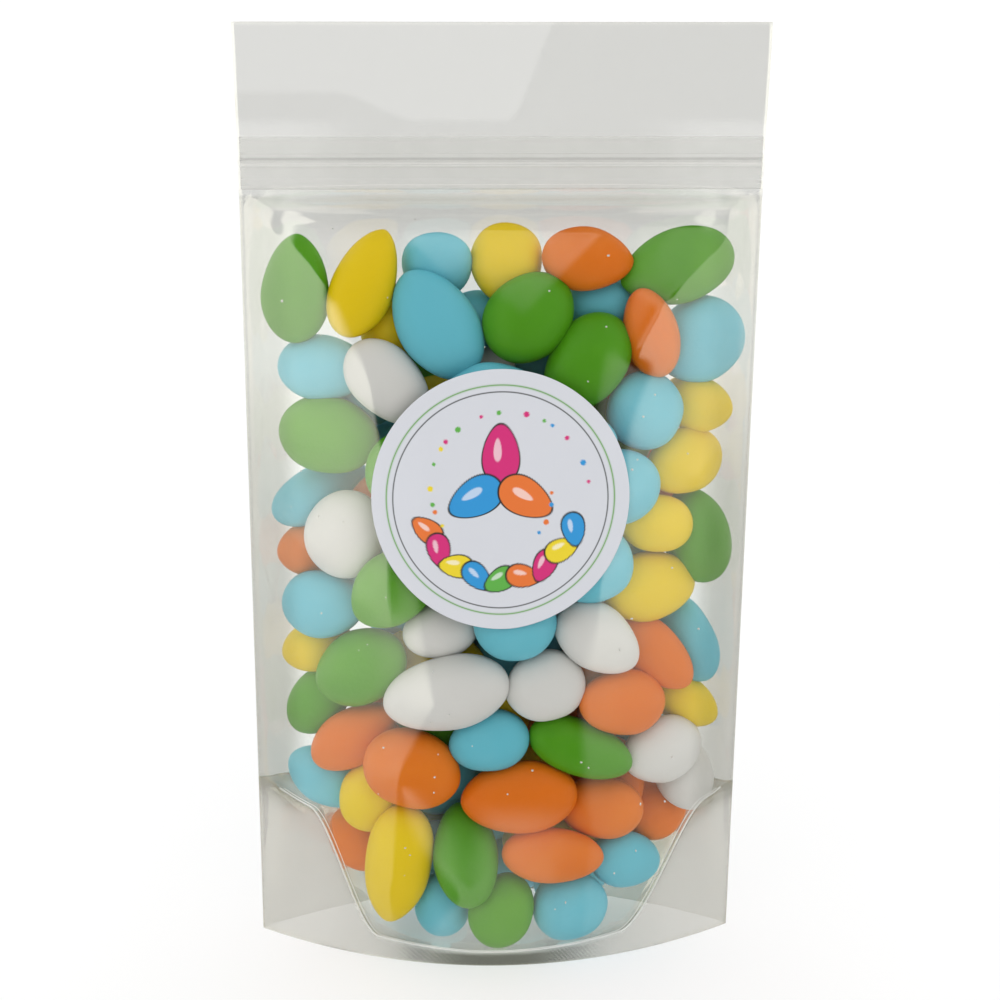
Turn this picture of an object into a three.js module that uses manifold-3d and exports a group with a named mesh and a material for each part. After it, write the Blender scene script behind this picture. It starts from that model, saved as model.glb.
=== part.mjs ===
// A clear stand-up pouch of sugared almonds: the filled film pouch, the press-to-close strip
// inside its header and the round label on its front.
// Millimetres, +Z up, the front faces -Y. The origin is on the floor, under the middle of the pouch.

import * as THREE from "three";
import { mergeVertices } from "three/addons/utils/BufferGeometryUtils.js";
import Module from "manifold-3d";

const wasm = await Module();
wasm.setup();

// ---- Driving dimensions ----

// The whole pouch.
const POUCH_WIDTH = 127;
const POUCH_HEIGHT = 238;
// The header sits this much further to the right than the foot.
const LEAN = 2;

// The filled part, from the floor up to where the two films meet.
const FOOT_HALF_DEPTH = 20.3;
const BELLY_HALF_DEPTH = 25;
const BELLY_HEIGHT = 62;
const FILL_TOP = 196.5;
const SIDE_SEAL = 5;
// How full the sections are: 1 is a parabola, less is rounder.
const FOOT_FULLNESS = 1;
const BODY_FULLNESS = 0.72;
const HEIGHT_FULLNESS = 0.7;
// Above this height the sections are as full as they get.
const FULL_FROM = 40;

// The almonds press soft bumps into the film.
const BUMP_DEPTH = 0.5;
const BUMP_WIDTH = 27;
const BUMP_HEIGHT = 19;

// The flat header and the band that holds the closing strip.
const HEADER_THICKNESS = 0.9;
const ZIP_BAND_THICKNESS = 2.2;
const ZIP_RIDGE_THICKNESS = 3.2;
const ZIP_BAND_BOTTOM = 198;
const ZIP_BAND_TOP = 212.5;
const ZIP_RIDGE_BOTTOM = 204.2;
const ZIP_RIDGE_TOP = 207.4;
const FILM_WALL = 0.5;
const GAP = 0.3;
const STEP_RUN = 1;

// The label.
const LABEL_DIAMETER = 64;
const LABEL_THICKNESS = 0.3;
const LABEL_CENTRE_Z = 127;
// Seen from the front, the label's width is this share of its diameter, because it wraps round the film.
const LABEL_WRAP = 0.983;

// How finely the faces are split.
const POUCH_COLUMNS = 28;
const FILL_ROWS = 44;
const LABEL_SEGMENTS = 44;
const LABEL_RINGS = 5;

// ---- Shape of the filled film ----

const clamp = THREE.MathUtils.clamp;

function smooth(value) {
  return THREE.MathUtils.smoothstep(value, 0, 1);
}

// How far the pouch's middle line has moved sideways at a height.
function leanAt(z) {
  return LEAN * (z / POUCH_HEIGHT - 0.5);
}

// Half the depth at the middle: a foot that swells to the belly and closes towards the header.
function middleHalfDepth(z) {
  if (z >= FILL_TOP) return 0;
  if (z <= BELLY_HEIGHT) {
    const rise = Math.sin((Math.PI / 2) * (z / BELLY_HEIGHT));
    return FOOT_HALF_DEPTH + (BELLY_HALF_DEPTH - FOOT_HALF_DEPTH) * rise;
  }
  const up = (z - BELLY_HEIGHT) / (FILL_TOP - BELLY_HEIGHT);
  return BELLY_HALF_DEPTH * Math.pow(1 - up * up, HEIGHT_FULLNESS);
}

// The share of that depth at a distance from the middle. The side seals stay flat above the foot.
function shareAcross(x, z) {
  const full = smooth(z / FULL_FROM);
  const reach = POUCH_WIDTH / 2 - SIDE_SEAL * full;
  const out = clamp(Math.abs(x) / reach, 0, 1);
  return Math.pow(1 - out * out, THREE.MathUtils.lerp(FOOT_FULLNESS, BODY_FULLNESS, full));
}

// The soft bumps, in rows that are staggered like bricks, none at the rim or on the floor.
function bumps(x, z) {
  const depth = middleHalfDepth(z) * shareAcross(x, z);
  const there = smooth(z / BELLY_HEIGHT) * clamp(depth / BELLY_HALF_DEPTH, 0, 1);
  const across = Math.cos((2 * Math.PI * x) / BUMP_WIDTH);
  const up = Math.cos((Math.PI * z) / BUMP_HEIGHT);
  return BUMP_DEPTH * there * (across * up - 1);
}

// Thickness of the header, with the band and the ridge of the closing strip.
function headerThickness(z) {
  const band = Math.min(z - ZIP_BAND_BOTTOM, ZIP_BAND_TOP - z) / STEP_RUN;
  const ridge = Math.min(z - ZIP_RIDGE_BOTTOM, ZIP_RIDGE_TOP - z) / STEP_RUN;
  return (
    HEADER_THICKNESS +
    (ZIP_BAND_THICKNESS - HEADER_THICKNESS) * clamp(band + 1, 0, 1) +
    (ZIP_RIDGE_THICKNESS - ZIP_BAND_THICKNESS) * clamp(ridge + 1, 0, 1)
  );
}

// Distance from the middle plane to the outside of the film, for x from the leaning middle line.
function halfThickness(x, z) {
  const filled = middleHalfDepth(z) * shareAcross(x, z);
  return headerThickness(z) / 2 + filled + bumps(x, z);
}

// ---- Making meshes ----

// The same geometry with its corners joined, so that it is one closed surface.
function closed(geometry) {
  const bare = geometry.clone();
  bare.deleteAttribute("normal");
  bare.deleteAttribute("uv");
  return mergeVertices(bare, 1e-4);
}

function toSolid(geometry) {
  const joined = closed(geometry);
  return new wasm.Manifold(
    new wasm.Mesh({
      numProp: 3,
      vertProperties: new Float32Array(joined.attributes.position.array),
      triVerts: new Uint32Array(joined.index.array),
    }),
  );
}

function toGeometry(solid) {
  const mesh = solid.getMesh();
  const geometry = new THREE.BufferGeometry();
  geometry.setAttribute("position", new THREE.BufferAttribute(mesh.vertProperties, 3));
  geometry.setIndex(new THREE.BufferAttribute(mesh.triVerts, 1));
  geometry.computeVertexNormals();
  return geometry;
}

// Moves every corner of a geometry to where place(corner) says.
function moveCorners(geometry, place) {
  const position = geometry.attributes.position;
  const corner = new THREE.Vector3();
  for (let i = 0; i < position.count; i += 1) {
    corner.fromBufferAttribute(position, i);
    place(corner);
    position.setXYZ(i, corner.x, corner.y, corner.z);
  }
  return geometry;
}

// Heights from one level to the next, in even steps. The last one is left to the next stretch.
function spread(from, to, steps) {
  return Array.from({ length: steps }, (_, i) => from + ((to - from) * i) / steps);
}

// The rows of the pouch: even up the filled part, and at every step of the header.
function rowHeights() {
  return [
    ...spread(0, FILL_TOP, FILL_ROWS),
    FILL_TOP,
    ZIP_BAND_BOTTOM - STEP_RUN / 2,
    ZIP_BAND_BOTTOM,
    ZIP_RIDGE_BOTTOM - STEP_RUN,
    ZIP_RIDGE_BOTTOM,
    ZIP_RIDGE_TOP,
    ZIP_RIDGE_TOP + STEP_RUN,
    ZIP_BAND_TOP,
    ...spread(ZIP_BAND_TOP + STEP_RUN, POUCH_HEIGHT, 4),
    POUCH_HEIGHT,
  ];
}

// ---- The pouch ----

// The strip's section, half a thickness out from the middle plane, grown by a clearance all round.
function stripSection(grow) {
  const flange = ZIP_BAND_THICKNESS / 2 - FILM_WALL - GAP + grow;
  const lock = ZIP_RIDGE_THICKNESS / 2 - FILM_WALL - GAP + grow;
  const low = ZIP_BAND_BOTTOM + STEP_RUN - grow;
  const high = ZIP_BAND_TOP - STEP_RUN + grow;
  const lockLow = ZIP_RIDGE_BOTTOM + GAP - grow;
  const lockHigh = ZIP_RIDGE_TOP - GAP + grow;
  const rightSide = [
    [flange, low],
    [flange, lockLow],
    [lock, lockLow],
    [lock, lockHigh],
    [flange, lockHigh],
    [flange, high],
  ];
  const leftSide = rightSide.map(([y, z]) => [-y, z]).reverse();
  return new THREE.Shape([...rightSide, ...leftSide].map(([y, z]) => new THREE.Vector2(y, z)));
}

// That section run across the pouch: its Y and Z stay, and it is as long as is given.
function strip(grow, length) {
  const bar = new THREE.ExtrudeGeometry(stripSection(grow), { depth: length, bevelEnabled: false });
  const middle = leanAt((ZIP_BAND_BOTTOM + ZIP_BAND_TOP) / 2);
  return moveCorners(bar, (corner) => {
    corner.set(corner.z - length / 2 + middle, corner.x, corner.y);
  });
}

function pouchBody() {
  const rows = rowHeights();
  const steps = rows.length - 1;
  const box = new THREE.BoxGeometry(2, 2, 1, POUCH_COLUMNS, 1, steps);
  return moveCorners(box, (corner) => {
    const z = rows[Math.round((corner.z + 0.5) * steps)];
    const x = (corner.x * POUCH_WIDTH) / 2;
    corner.set(x + leanAt(z), Math.sign(corner.y) * halfThickness(x, z), z);
  });
}

// The body, with a slot right across its header for the closing strip.
function pouch() {
  const slot = toSolid(strip(GAP, POUCH_WIDTH * 1.2));
  return toGeometry(toSolid(pouchBody()).subtract(slot));
}

// ---- The label ----

// A thin disc laid on the front of the film, a little clear of it all over.
function label() {
  const radius = LABEL_DIAMETER / 2;
  const rings = spread(0, radius, LABEL_RINGS);
  const lower = [...rings, radius].map((r) => new THREE.Vector2(r, 0));
  const upper = lower.map((point) => new THREE.Vector2(point.x, LABEL_THICKNESS)).reverse();
  const disc = new THREE.LatheGeometry([...lower, ...upper], LABEL_SEGMENTS);
  return moveCorners(disc, (corner) => {
    const x = corner.x * LABEL_WRAP;
    const z = LABEL_CENTRE_Z - corner.z;
    corner.set(x + leanAt(z), -halfThickness(x, z) - GAP - corner.y, z);
  });
}

// ---- The whole ----

const film = new THREE.MeshStandardMaterial({
  color: 0xe4e4de,
  roughness: 0.12,
  metalness: 0,
  transparent: true,
  opacity: 0.4,
});
const zipPlastic = new THREE.MeshStandardMaterial({ color: 0xdededa, roughness: 0.35, metalness: 0 });
const labelPaper = new THREE.MeshStandardMaterial({ color: 0xdcdce0, roughness: 0.5, metalness: 0 });

function piece(name, geometry, material) {
  const mesh = new THREE.Mesh(geometry, material);
  mesh.name = name;
  return mesh;
}

const group = new THREE.Group();
group.add(
  piece("pouch", pouch(), film),
  piece("zip_strip", closed(strip(0, POUCH_WIDTH - 2 * GAP)), zipPlastic),
  piece("label", closed(label()), labelPaper),
);

export default group;
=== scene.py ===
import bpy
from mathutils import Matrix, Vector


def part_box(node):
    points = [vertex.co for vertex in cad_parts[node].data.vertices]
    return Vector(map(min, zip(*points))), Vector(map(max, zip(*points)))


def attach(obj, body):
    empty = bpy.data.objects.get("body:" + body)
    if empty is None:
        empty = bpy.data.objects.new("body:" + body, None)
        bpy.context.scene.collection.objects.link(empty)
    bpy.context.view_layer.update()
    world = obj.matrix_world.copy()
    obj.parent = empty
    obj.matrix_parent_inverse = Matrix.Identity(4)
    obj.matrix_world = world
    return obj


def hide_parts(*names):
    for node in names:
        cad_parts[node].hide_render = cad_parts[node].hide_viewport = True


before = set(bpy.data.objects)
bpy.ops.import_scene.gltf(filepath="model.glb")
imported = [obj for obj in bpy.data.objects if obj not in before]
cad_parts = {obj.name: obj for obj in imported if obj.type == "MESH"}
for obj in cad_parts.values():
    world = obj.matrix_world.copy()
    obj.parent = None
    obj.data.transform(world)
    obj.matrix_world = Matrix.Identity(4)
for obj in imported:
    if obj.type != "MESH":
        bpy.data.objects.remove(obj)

"""A clear stand-up pouch of sugared almonds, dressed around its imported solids.

Shapes are worked out with numpy in millimetres and put into meshes in metres. The pouch stands on
the floor with its front on -Y, as the solids do.
"""

import functools
import logging
import math
from dataclasses import dataclass, field
from enum import Enum

import bpy
import numpy as np

LOG = logging.getLogger("pouch")
MM = 0.001
SEED = 7
Colour = tuple[float, float, float]
Faces = list[np.ndarray]
Socket = bpy.types.NodeSocket
Span = tuple[float, float]
Fade = tuple[float, float, float, float]


# ---- Small helpers ----


def smooth(t: np.ndarray) -> np.ndarray:
    """Rises from 0 to 1 with level ends: three times t squared less twice t cubed.

    Args:
        t: Where to read the step. It is held between 0 and 1.

    Returns:
        The height of the step.
    """
    t = np.clip(t, 0.0, 1.0)
    return t * t * (3 - 2 * t)


def rise(value: np.ndarray, start: float, width: float) -> np.ndarray:
    """Rises smoothly from 0 to 1 while the value goes from start to start plus width."""
    return smooth((value - start) / width)


def fall(value: np.ndarray, end: float, width: float) -> np.ndarray:
    """Falls smoothly from 1 to 0 while the value goes from end less width to end."""
    return smooth((end - value) / width)


def round_angles(count: int) -> np.ndarray:
    """That many even steps round a circle, in radians, without the last that meets the first."""
    return np.linspace(0, 2 * math.pi, count, endpoint=False)


def unit(vectors: np.ndarray) -> np.ndarray:
    """Vectors along the last axis, each over its own length."""
    return vectors / np.maximum(np.linalg.norm(vectors, axis=-1, keepdims=True), 1e-12)


def srgb(red: int, green: int, blue: int) -> Colour:
    """A screen colour as the linear light that a shader takes.

    Args:
        red: From 0 to 255.
        green: From 0 to 255.
        blue: From 0 to 255.

    Returns:
        Each channel to the power 2.4 after its offset of 0.055, the usual curve.
    """
    return tuple(
        c / 255 / 12.92 if c <= 10 else ((c / 255 + 0.055) / 1.055) ** 2.4
        for c in (red, green, blue)
    )


def add_mesh(name: str, points: np.ndarray, faces: Faces) -> bpy.types.Object:
    """Puts whole arrays into a new smoothly shaded mesh object at the origin.

    Args:
        name: The piece's name.
        points: Corners in millimetres, one row each.
        faces: Arrays of corner numbers, with one row of three or of four for each face.

    Returns:
        The new object, in the scene.
    """
    mesh = bpy.data.meshes.new(name)
    points = np.asarray(points, float).reshape(-1, 3)
    corners = np.concatenate([part.ravel() for part in faces]).astype(np.int32)
    sizes = np.concatenate([np.full(len(part), part.shape[1]) for part in faces])
    mesh.vertices.add(len(points))
    mesh.vertices.foreach_set("co", (points * MM).astype(np.float32).ravel())
    mesh.loops.add(len(corners))
    mesh.loops.foreach_set("vertex_index", corners)
    mesh.polygons.add(len(sizes))
    mesh.polygons.foreach_set("loop_start", (np.cumsum(sizes) - sizes).astype(np.int32))
    mesh.polygons.foreach_set("use_smooth", np.ones(len(sizes), bool))
    mesh.update(calc_edges=True)
    mesh.validate()
    piece = bpy.data.objects.new(name, mesh)
    bpy.context.scene.collection.objects.link(piece)
    return piece


def set_attribute(piece: bpy.types.Object, name: str, values: np.ndarray) -> None:
    """Stores a number or a colour on each corner point of a piece.

    Args:
        piece: A mesh object.
        name: The attribute's name, which its material reads.
        values: One number for each point, or one row of three.
    """
    values = np.asarray(values, np.float32)
    if values.ndim == 1:
        piece.data.attributes.new(name, "FLOAT", "POINT").data.foreach_set("value", values)
        return
    colours = np.concatenate([values, np.ones((len(values), 1), np.float32)], axis=1)
    piece.data.attributes.new(name, "FLOAT_COLOR", "POINT").data.foreach_set("color", colours.ravel())


def make_piece(
    name: str, points: np.ndarray, faces: Faces, finish: object, node: str, slot: str, **looks: np.ndarray
) -> bpy.types.Object:
    """Makes a visible piece of the pouch, hides the solid that it replaces and logs it.

    Args:
        name: The piece's name.
        points: Corners in millimetres.
        faces: Arrays of corner numbers.
        finish: One of the finishes below, which makes its material.
        node: The solid that it replaces.
        slot: Not used.
        looks: The attributes that its material reads, with their values.

    Returns:
        The new object.
    """
    piece = add_mesh(name, points, faces)
    for look, values in looks.items():
        set_attribute(piece, look, values)
    piece.data.materials.append(finish.material())
    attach(piece, "root")
    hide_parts(node)
    low, high = np.min(piece.bound_box, axis=0) / MM, np.max(piece.bound_box, axis=0) / MM
    LOG.info("%s: %d faces, %s to %s mm", name, len(piece.data.polygons), low.round(1), high.round(1))
    return piece


def grid_faces(rows: int, columns: int) -> np.ndarray:
    """The four corners of each cell of a grid whose points are numbered row by row.

    Args:
        rows: How many rows of points there are.
        columns: How many points each row has.

    Returns:
        One row of four numbers for each cell, turned one way.
    """
    number = np.arange(rows * columns).reshape(rows, columns)
    return np.stack(
        [number[:-1, :-1], number[:-1, 1:], number[1:, 1:], number[1:, :-1]], axis=-1
    ).reshape(-1, 4)


def grid_normals(points: np.ndarray) -> np.ndarray:
    """Normals of a grid surface: the direction along the columns crossed with that along the rows.

    Args:
        points: An array of rows by columns by three.

    Returns:
        Unit vectors of the same shape.
    """
    along = np.gradient(points, axis=1)
    up = np.gradient(points, axis=0)
    return unit(np.cross(along, up))


def shell(outer: np.ndarray, thickness: float) -> tuple[np.ndarray, Faces]:
    """A thin closed shell: a grid, the same grid moved back along its normals, and a rim between.

    Args:
        outer: The outer face as rows by columns by three, with its normals pointing out.
        thickness: How far the inner face lies behind it.

    Returns:
        The points and the arrays of faces.
    """
    rows, columns = outer.shape[:2]
    inner = outer - thickness * grid_normals(outer)
    faces = grid_faces(rows, columns)
    count = rows * columns
    number = np.arange(count).reshape(rows, columns)
    loop = np.concatenate([number[0, :-1], number[:-1, -1], number[-1, :0:-1], number[:0:-1, 0]])
    after = np.roll(loop, -1)
    rim = np.stack([after, loop, loop + count, after + count], axis=-1)
    points = np.concatenate([outer.reshape(-1, 3), inner.reshape(-1, 3)])
    return points, [faces, faces[:, ::-1] + count, rim]


def ring_faces(rings: int, sides: int) -> Faces:
    """Faces of a closed form made of rings and of one point at each end.

    Args:
        rings: How many rings there are. Their points come first, ring by ring.
        sides: How many points each ring has. The first end's point comes after them, then the last.

    Returns:
        The arrays of faces, which face out where the rings turn from the first axis to the
        second and follow each other against the third.
    """
    number = np.arange(rings * sides).reshape(rings, sides)
    here, below = number[:-1], number[1:]
    walls = np.stack([here, below, np.roll(below, -1, 1), np.roll(here, -1, 1)], axis=-1).reshape(-1, 4)
    first, last = number[0], number[-1]
    start = np.stack([np.full(sides, rings * sides), first, np.roll(first, -1)], axis=-1)
    end = np.stack([np.full(sides, rings * sides + 1), np.roll(last, -1), last], axis=-1)
    return [walls, np.concatenate([start, end])]


def repeat_faces(faces: Faces, points_each: int, count: int) -> Faces:
    """The faces of many copies of one form whose points follow each other, copy by copy."""
    starts = np.arange(count)[:, None, None] * points_each
    return [(part[None] + starts).reshape(-1, part.shape[1]) for part in faces]


def tube(
    path: np.ndarray, across: np.ndarray, radii: tuple[float, float], sides: int
) -> tuple[np.ndarray, Faces]:
    """An oval section carried along a path, with closed ends.

    Args:
        path: Points along the middle, one row each.
        across: The direction of the section's first radius at each point.
        radii: The section's radius along that direction, and square to it.
        sides: How many sides the section has.

    Returns:
        The points and the arrays of faces.
    """
    along = unit(np.gradient(path, axis=0))
    second = unit(np.cross(across, along))
    first = np.cross(along, second)
    turn = round_angles(sides)[None, :, None]
    rings = (
        path[:, None, :]
        + radii[0] * np.cos(turn) * first[:, None, :]
        + radii[1] * np.sin(turn) * second[:, None, :]
    )
    points = np.concatenate([rings.reshape(-1, 3), path[:1], path[-1:]])
    return points, ring_faces(len(path), sides)


def grid_value(grid: np.ndarray, row: np.ndarray, column: np.ndarray) -> np.ndarray:
    """Reads a grid between its points, by the shares of the four around each place.

    Args:
        grid: Rows by columns.
        row: Places down the rows, with fractions.
        column: Places along the columns, with fractions.

    Returns:
        The values there. A place outside the grid gets its edge's value.
    """
    row = np.clip(row, 0, grid.shape[0] - 1.001)
    column = np.clip(column, 0, grid.shape[1] - 1.001)
    r, c = row.astype(int), column.astype(int)
    down, over = row - r, column - c
    upper = grid[r, c] * (1 - over) + grid[r, c + 1] * over
    lower = grid[r + 1, c] * (1 - over) + grid[r + 1, c + 1] * over
    return upper * (1 - down) + lower * down


# ---- The camera of the photograph and the form of the pouch ----


@dataclass(frozen=True)
class PhotoCamera:
    """The camera, in front of the pouch and a little left of it, that looks down on it.

    Args:
        place: Where it stands, in millimetres.
        yaw: How far it turns to the right of +Y, in degrees.
        pitch: How far it looks down, in degrees.
        lens: Its focal length, in millimetres.
        sensor: The width of its sensor, in millimetres.
        picture: The width of the square picture, in pixels.
    """

    place: tuple[float, float, float] = (-6.94, -392.14, 226.54)
    yaw: float = 1.06
    pitch: float = 15.06
    lens: float = 57.27
    sensor: float = 36.0
    picture: float = 1000.0

    @property
    def focal_pixels(self) -> float:
        """The focal length in pixels of the picture."""
        return self.lens / self.sensor * self.picture

    def axes(self) -> tuple[np.ndarray, np.ndarray, np.ndarray]:
        """The directions to the right, up and into the picture."""
        yaw, pitch = math.radians(self.yaw), math.radians(self.pitch)
        ahead = np.array([math.sin(yaw) * math.cos(pitch), math.cos(yaw) * math.cos(pitch), -math.sin(pitch)])
        right = np.array([math.cos(yaw), -math.sin(yaw), 0.0])
        return right, np.cross(right, ahead), ahead

    def rays(self, pixels: np.ndarray) -> np.ndarray:
        """Unit directions from the camera through pixels.

        Args:
            pixels: Rows of a pixel's place across and down.

        Returns:
            The way ahead, plus the pixel's offset from the middle over the focal length.
        """
        right, up, ahead = self.axes()
        off = (pixels - self.picture / 2) / self.focal_pixels
        return unit(ahead + off[:, :1] * right - off[:, 1:] * up)

    def add(self) -> None:
        """Makes the camera object and gives it to the scene."""
        data = bpy.data.cameras.new("photo_camera")
        data.lens = self.lens
        data.sensor_width = self.sensor
        data.clip_end = 20.0
        camera = bpy.data.objects.new("photo_camera", data)
        camera.location = [v * MM for v in self.place]
        camera.rotation_euler = (math.radians(90 - self.pitch), 0.0, -math.radians(self.yaw))
        bpy.context.scene.collection.objects.link(camera)
        bpy.context.scene.camera = camera


@dataclass(frozen=True)
class PouchForm:
    """The smooth form of the filled pouch, the same as the solid's, in millimetres.

    A point of it is given by x from the leaning middle line, and by its height. A fullness of 1
    makes a parabola, and less makes a rounder curve. The facets are the flat parts of the taut
    front on both sides of its middle. The seal is the U-shaped one that joins the folded foot to
    the panels: a shallow bowl with a quick rise on both sides, which the right one makes later,
    over a longer way and to a lower end.
    """

    width: float
    height: float
    lean: float = 2.0
    foot_half_depth: float = 20.3
    belly_half_depth: float = 25.0
    belly_height: float = 62.0
    fill_top: float = 196.5
    side_seal: float = 5.0
    full_from: float = 40.0
    foot_fullness: float = 1.0
    body_fullness: float = 0.72
    height_fullness: float = 0.7
    facet_start: float = 29.5
    facet_drop: float = 0.15
    facet_slope: float = 0.46
    facet_bottom: float = 12.0
    facet_blend: float = 34.0
    seal_centre_height: float = 4.2
    seal_side_height: float = 45.0
    seal_rise: float = 31.0
    seal_rise_from: float = 31.0
    seal_rise_width: float = 18.0
    bowl_rise: float = 4.0
    bowl_reach: float = 40.0
    right_later: float = 1.5
    right_longer: float = 5.0
    right_lower: float = 2.5
    floor_gap: float = 0.3

    def lean_at(self, z: np.ndarray) -> np.ndarray:
        """How far the middle line has moved sideways: it grows evenly with height."""
        return self.lean * (z / self.height - 0.5)

    def middle_half_depth(self, z: np.ndarray) -> np.ndarray:
        """Half the depth on the middle line.

        Args:
            z: Heights.

        Returns:
            A quarter sine wave from the foot up to the belly, and above it the belly's depth
            times one less the square of the way up, to a power.
        """
        swell = np.sin(math.pi / 2 * np.clip(z / self.belly_height, 0, 1))
        lower = self.foot_half_depth + (self.belly_half_depth - self.foot_half_depth) * swell
        way = np.clip((z - self.belly_height) / (self.fill_top - self.belly_height), 0, 1)
        upper = self.belly_half_depth * (1 - way**2) ** self.height_fullness
        return np.where(z < self.belly_height, lower, upper)

    def half_depth(self, x: np.ndarray, z: np.ndarray) -> np.ndarray:
        """Half the depth anywhere.

        Args:
            x: Distance from the leaning middle line.
            z: Height.

        Returns:
            The depth on the middle line times one less the square of x over the reach, to a
            power. The reach ends at the side seals, and at the edge on the floor.
        """
        full = smooth(z / self.full_from)
        reach = self.width / 2 - self.side_seal * full
        out = np.clip(np.abs(x) / reach, 0, 1)
        power = self.foot_fullness + (self.body_fullness - self.foot_fullness) * full
        return self.middle_half_depth(z) * (1 - out**2) ** power

    def front_depth(self, x: np.ndarray, z: np.ndarray) -> np.ndarray:
        """How far the taut front stands out: a shallow middle, with a flat facet on each side of it.

        Args:
            x: Distance from the leaning middle line.
            z: Height.

        Returns:
            The depth on the middle line, less a share that grows as the square of x, or the
            facet's slope times the way to the side seal where that is less. Low down it turns
            into half the depth of the whole form.
        """
        middle = self.middle_half_depth(z)
        start = self.facet_start
        reach = self.width / 2 - self.side_seal
        out = np.abs(x)
        panel = middle * (1 - self.facet_drop * (out / start) ** 2)
        slope = np.maximum(middle * (1 - self.facet_drop) / (reach - start), self.facet_slope)
        taut = np.minimum(panel, slope * np.maximum(reach - out, 0))
        share = rise(z, self.facet_bottom, self.facet_blend)
        return self.half_depth(x, z) * (1 - share) + taut * share

    def front_slope(self, x: np.ndarray, z: np.ndarray) -> tuple[np.ndarray, np.ndarray]:
        """How fast the front's depth grows with x and with height, by differences over a millimetre."""
        across = self.front_depth(x + 0.5, z) - self.front_depth(x - 0.5, z)
        up = self.front_depth(x, z + 0.5) - self.front_depth(x, z - 0.5)
        return across, up

    def seal_height(self, x: np.ndarray) -> np.ndarray:
        """Height of the U-shaped seal that joins the folded foot to the panels.

        Args:
            x: Distance from the leaning middle line.

        Returns:
            The bowl grows as the square of x. The rise beside it starts at its own distance
            from the middle and ends in a level part near the side seal.
        """
        far = np.abs(x)
        right = smooth(x / self.bowl_reach + 0.5)
        bowl = self.seal_centre_height + self.bowl_rise * (far / self.bowl_reach) ** 2
        start = far - self.seal_rise_from - self.right_later * right
        way = smooth(start / (self.seal_rise_width + self.right_longer * right))
        return np.minimum(bowl + (self.seal_rise - self.right_lower * right) * way, self.seal_side_height)

    def foot_height(self, x: np.ndarray, share: np.ndarray) -> np.ndarray:
        """Height of the folded foot between the panels.

        Args:
            x: Distance from the leaning middle line.
            share: How far out from the middle plane, from 0 to 1 at a panel.

        Returns:
            The seal's height at the panels, sagging to near the floor on the middle plane,
            less towards the sides, as the square of the share.
        """
        seal = self.seal_height(x)
        held = 0.5 + 0.5 * seal / self.seal_side_height
        middle = self.floor_gap + (seal - self.seal_centre_height) * held
        return middle + (seal - middle) * share**2


# ---- Finishes ----


class Graph:
    """The node tree of a material or a world, with short ways to add and join nodes.

    Args:
        owner: The new material or world.
    """

    def __init__(self, owner: bpy.types.ID) -> None:
        """Empties the owner's tree."""
        self.owner = owner
        owner.use_nodes = True
        self.tree = owner.node_tree
        self.tree.nodes.clear()

    def node(self, kind: str, inputs: dict | None = None, **settings: object) -> bpy.types.Node:
        """Adds a node.

        Args:
            kind: The node's type in Blender, without ShaderNode.
            inputs: For each input's name or number, a socket to join or a value to set.
            settings: The node's own settings.

        Returns:
            The node.
        """
        node = self.tree.nodes.new("ShaderNode" + kind)
        for name, value in settings.items():
            setattr(node, name, value)
        for name, value in (inputs or {}).items():
            socket = node.inputs[name]
            if isinstance(value, bpy.types.NodeSocket):
                self.tree.links.new(value, socket)
            elif isinstance(value, tuple) and len(value) == 3 and socket.type == "RGBA":
                socket.default_value = (*value, 1.0)
            else:
                socket.default_value = value
        return node

    def result(self, kind: str, inputs: dict, **settings: object) -> Socket:
        """Adds such a node and gives its first output."""
        return self.node(kind, inputs, **settings).outputs[0]

    def maths(self, operation: str, *values: object) -> Socket:
        """A Math node of that operation on those values or sockets, and its result."""
        return self.result("Math", dict(enumerate(values)), operation=operation)

    def fold(self, operation: str, *values: object) -> Socket:
        """Joins any number of values or sockets by one operation, from the first to the last."""
        return functools.reduce(functools.partial(self.maths, operation), values)

    def blend(self, share: object, first: object, second: object, clamp: bool = True) -> Socket:
        """A colour between two: all of the first at a share of 0, and all of the second at 1."""
        inputs = {0: share, 6: first, 7: second}
        return self.node("Mix", inputs, data_type="RGBA", clamp_factor=clamp).outputs[2]

    def noise(self, scale: float, detail: float = 2.0) -> Socket:
        """Noise fixed to the piece.

        Args:
            scale: Lumps for each metre.
            detail: How many finer layers are added.

        Returns:
            The noise's height, from 0 to 1.
        """
        place = self.node("TexCoord").outputs["Object"]
        return self.result("TexNoise", {"Vector": place, "Scale": scale, "Detail": detail})

    def mottle(self, scale: float, detail: float, gain: float, base: object) -> Socket:
        """That noise times a gain, plus a base."""
        return self.maths("MULTIPLY_ADD", self.noise(scale, detail), gain, base)

    def step(self, value: Socket, low: float, high: float, start: float, end: float) -> Socket:
        """Goes smoothly from start to end while the value goes from low to high."""
        inputs = {0: value, 1: low, 2: high, 3: start, 4: end}
        return self.result("MapRange", inputs, interpolation_type="SMOOTHSTEP")

    def bump(self, height: Socket, distance: float) -> Socket:
        """A bumped normal from a height, of that many metres."""
        return self.result("Bump", {"Height": height, "Distance": distance, "Strength": 1.0})

    def attribute(self, name: str, output: str = "Fac") -> Socket:
        """Reads an attribute of the piece: its one number, or its Color."""
        return self.node("Attribute", attribute_name=name).outputs[output]

    def finish(self, surface: Socket) -> bpy.types.ID:
        """Joins a surface to the output and gives the material or world."""
        output = "OutputWorld" if isinstance(self.owner, bpy.types.World) else "OutputMaterial"
        self.node(output, {"Surface": surface})
        return self.owner


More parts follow.
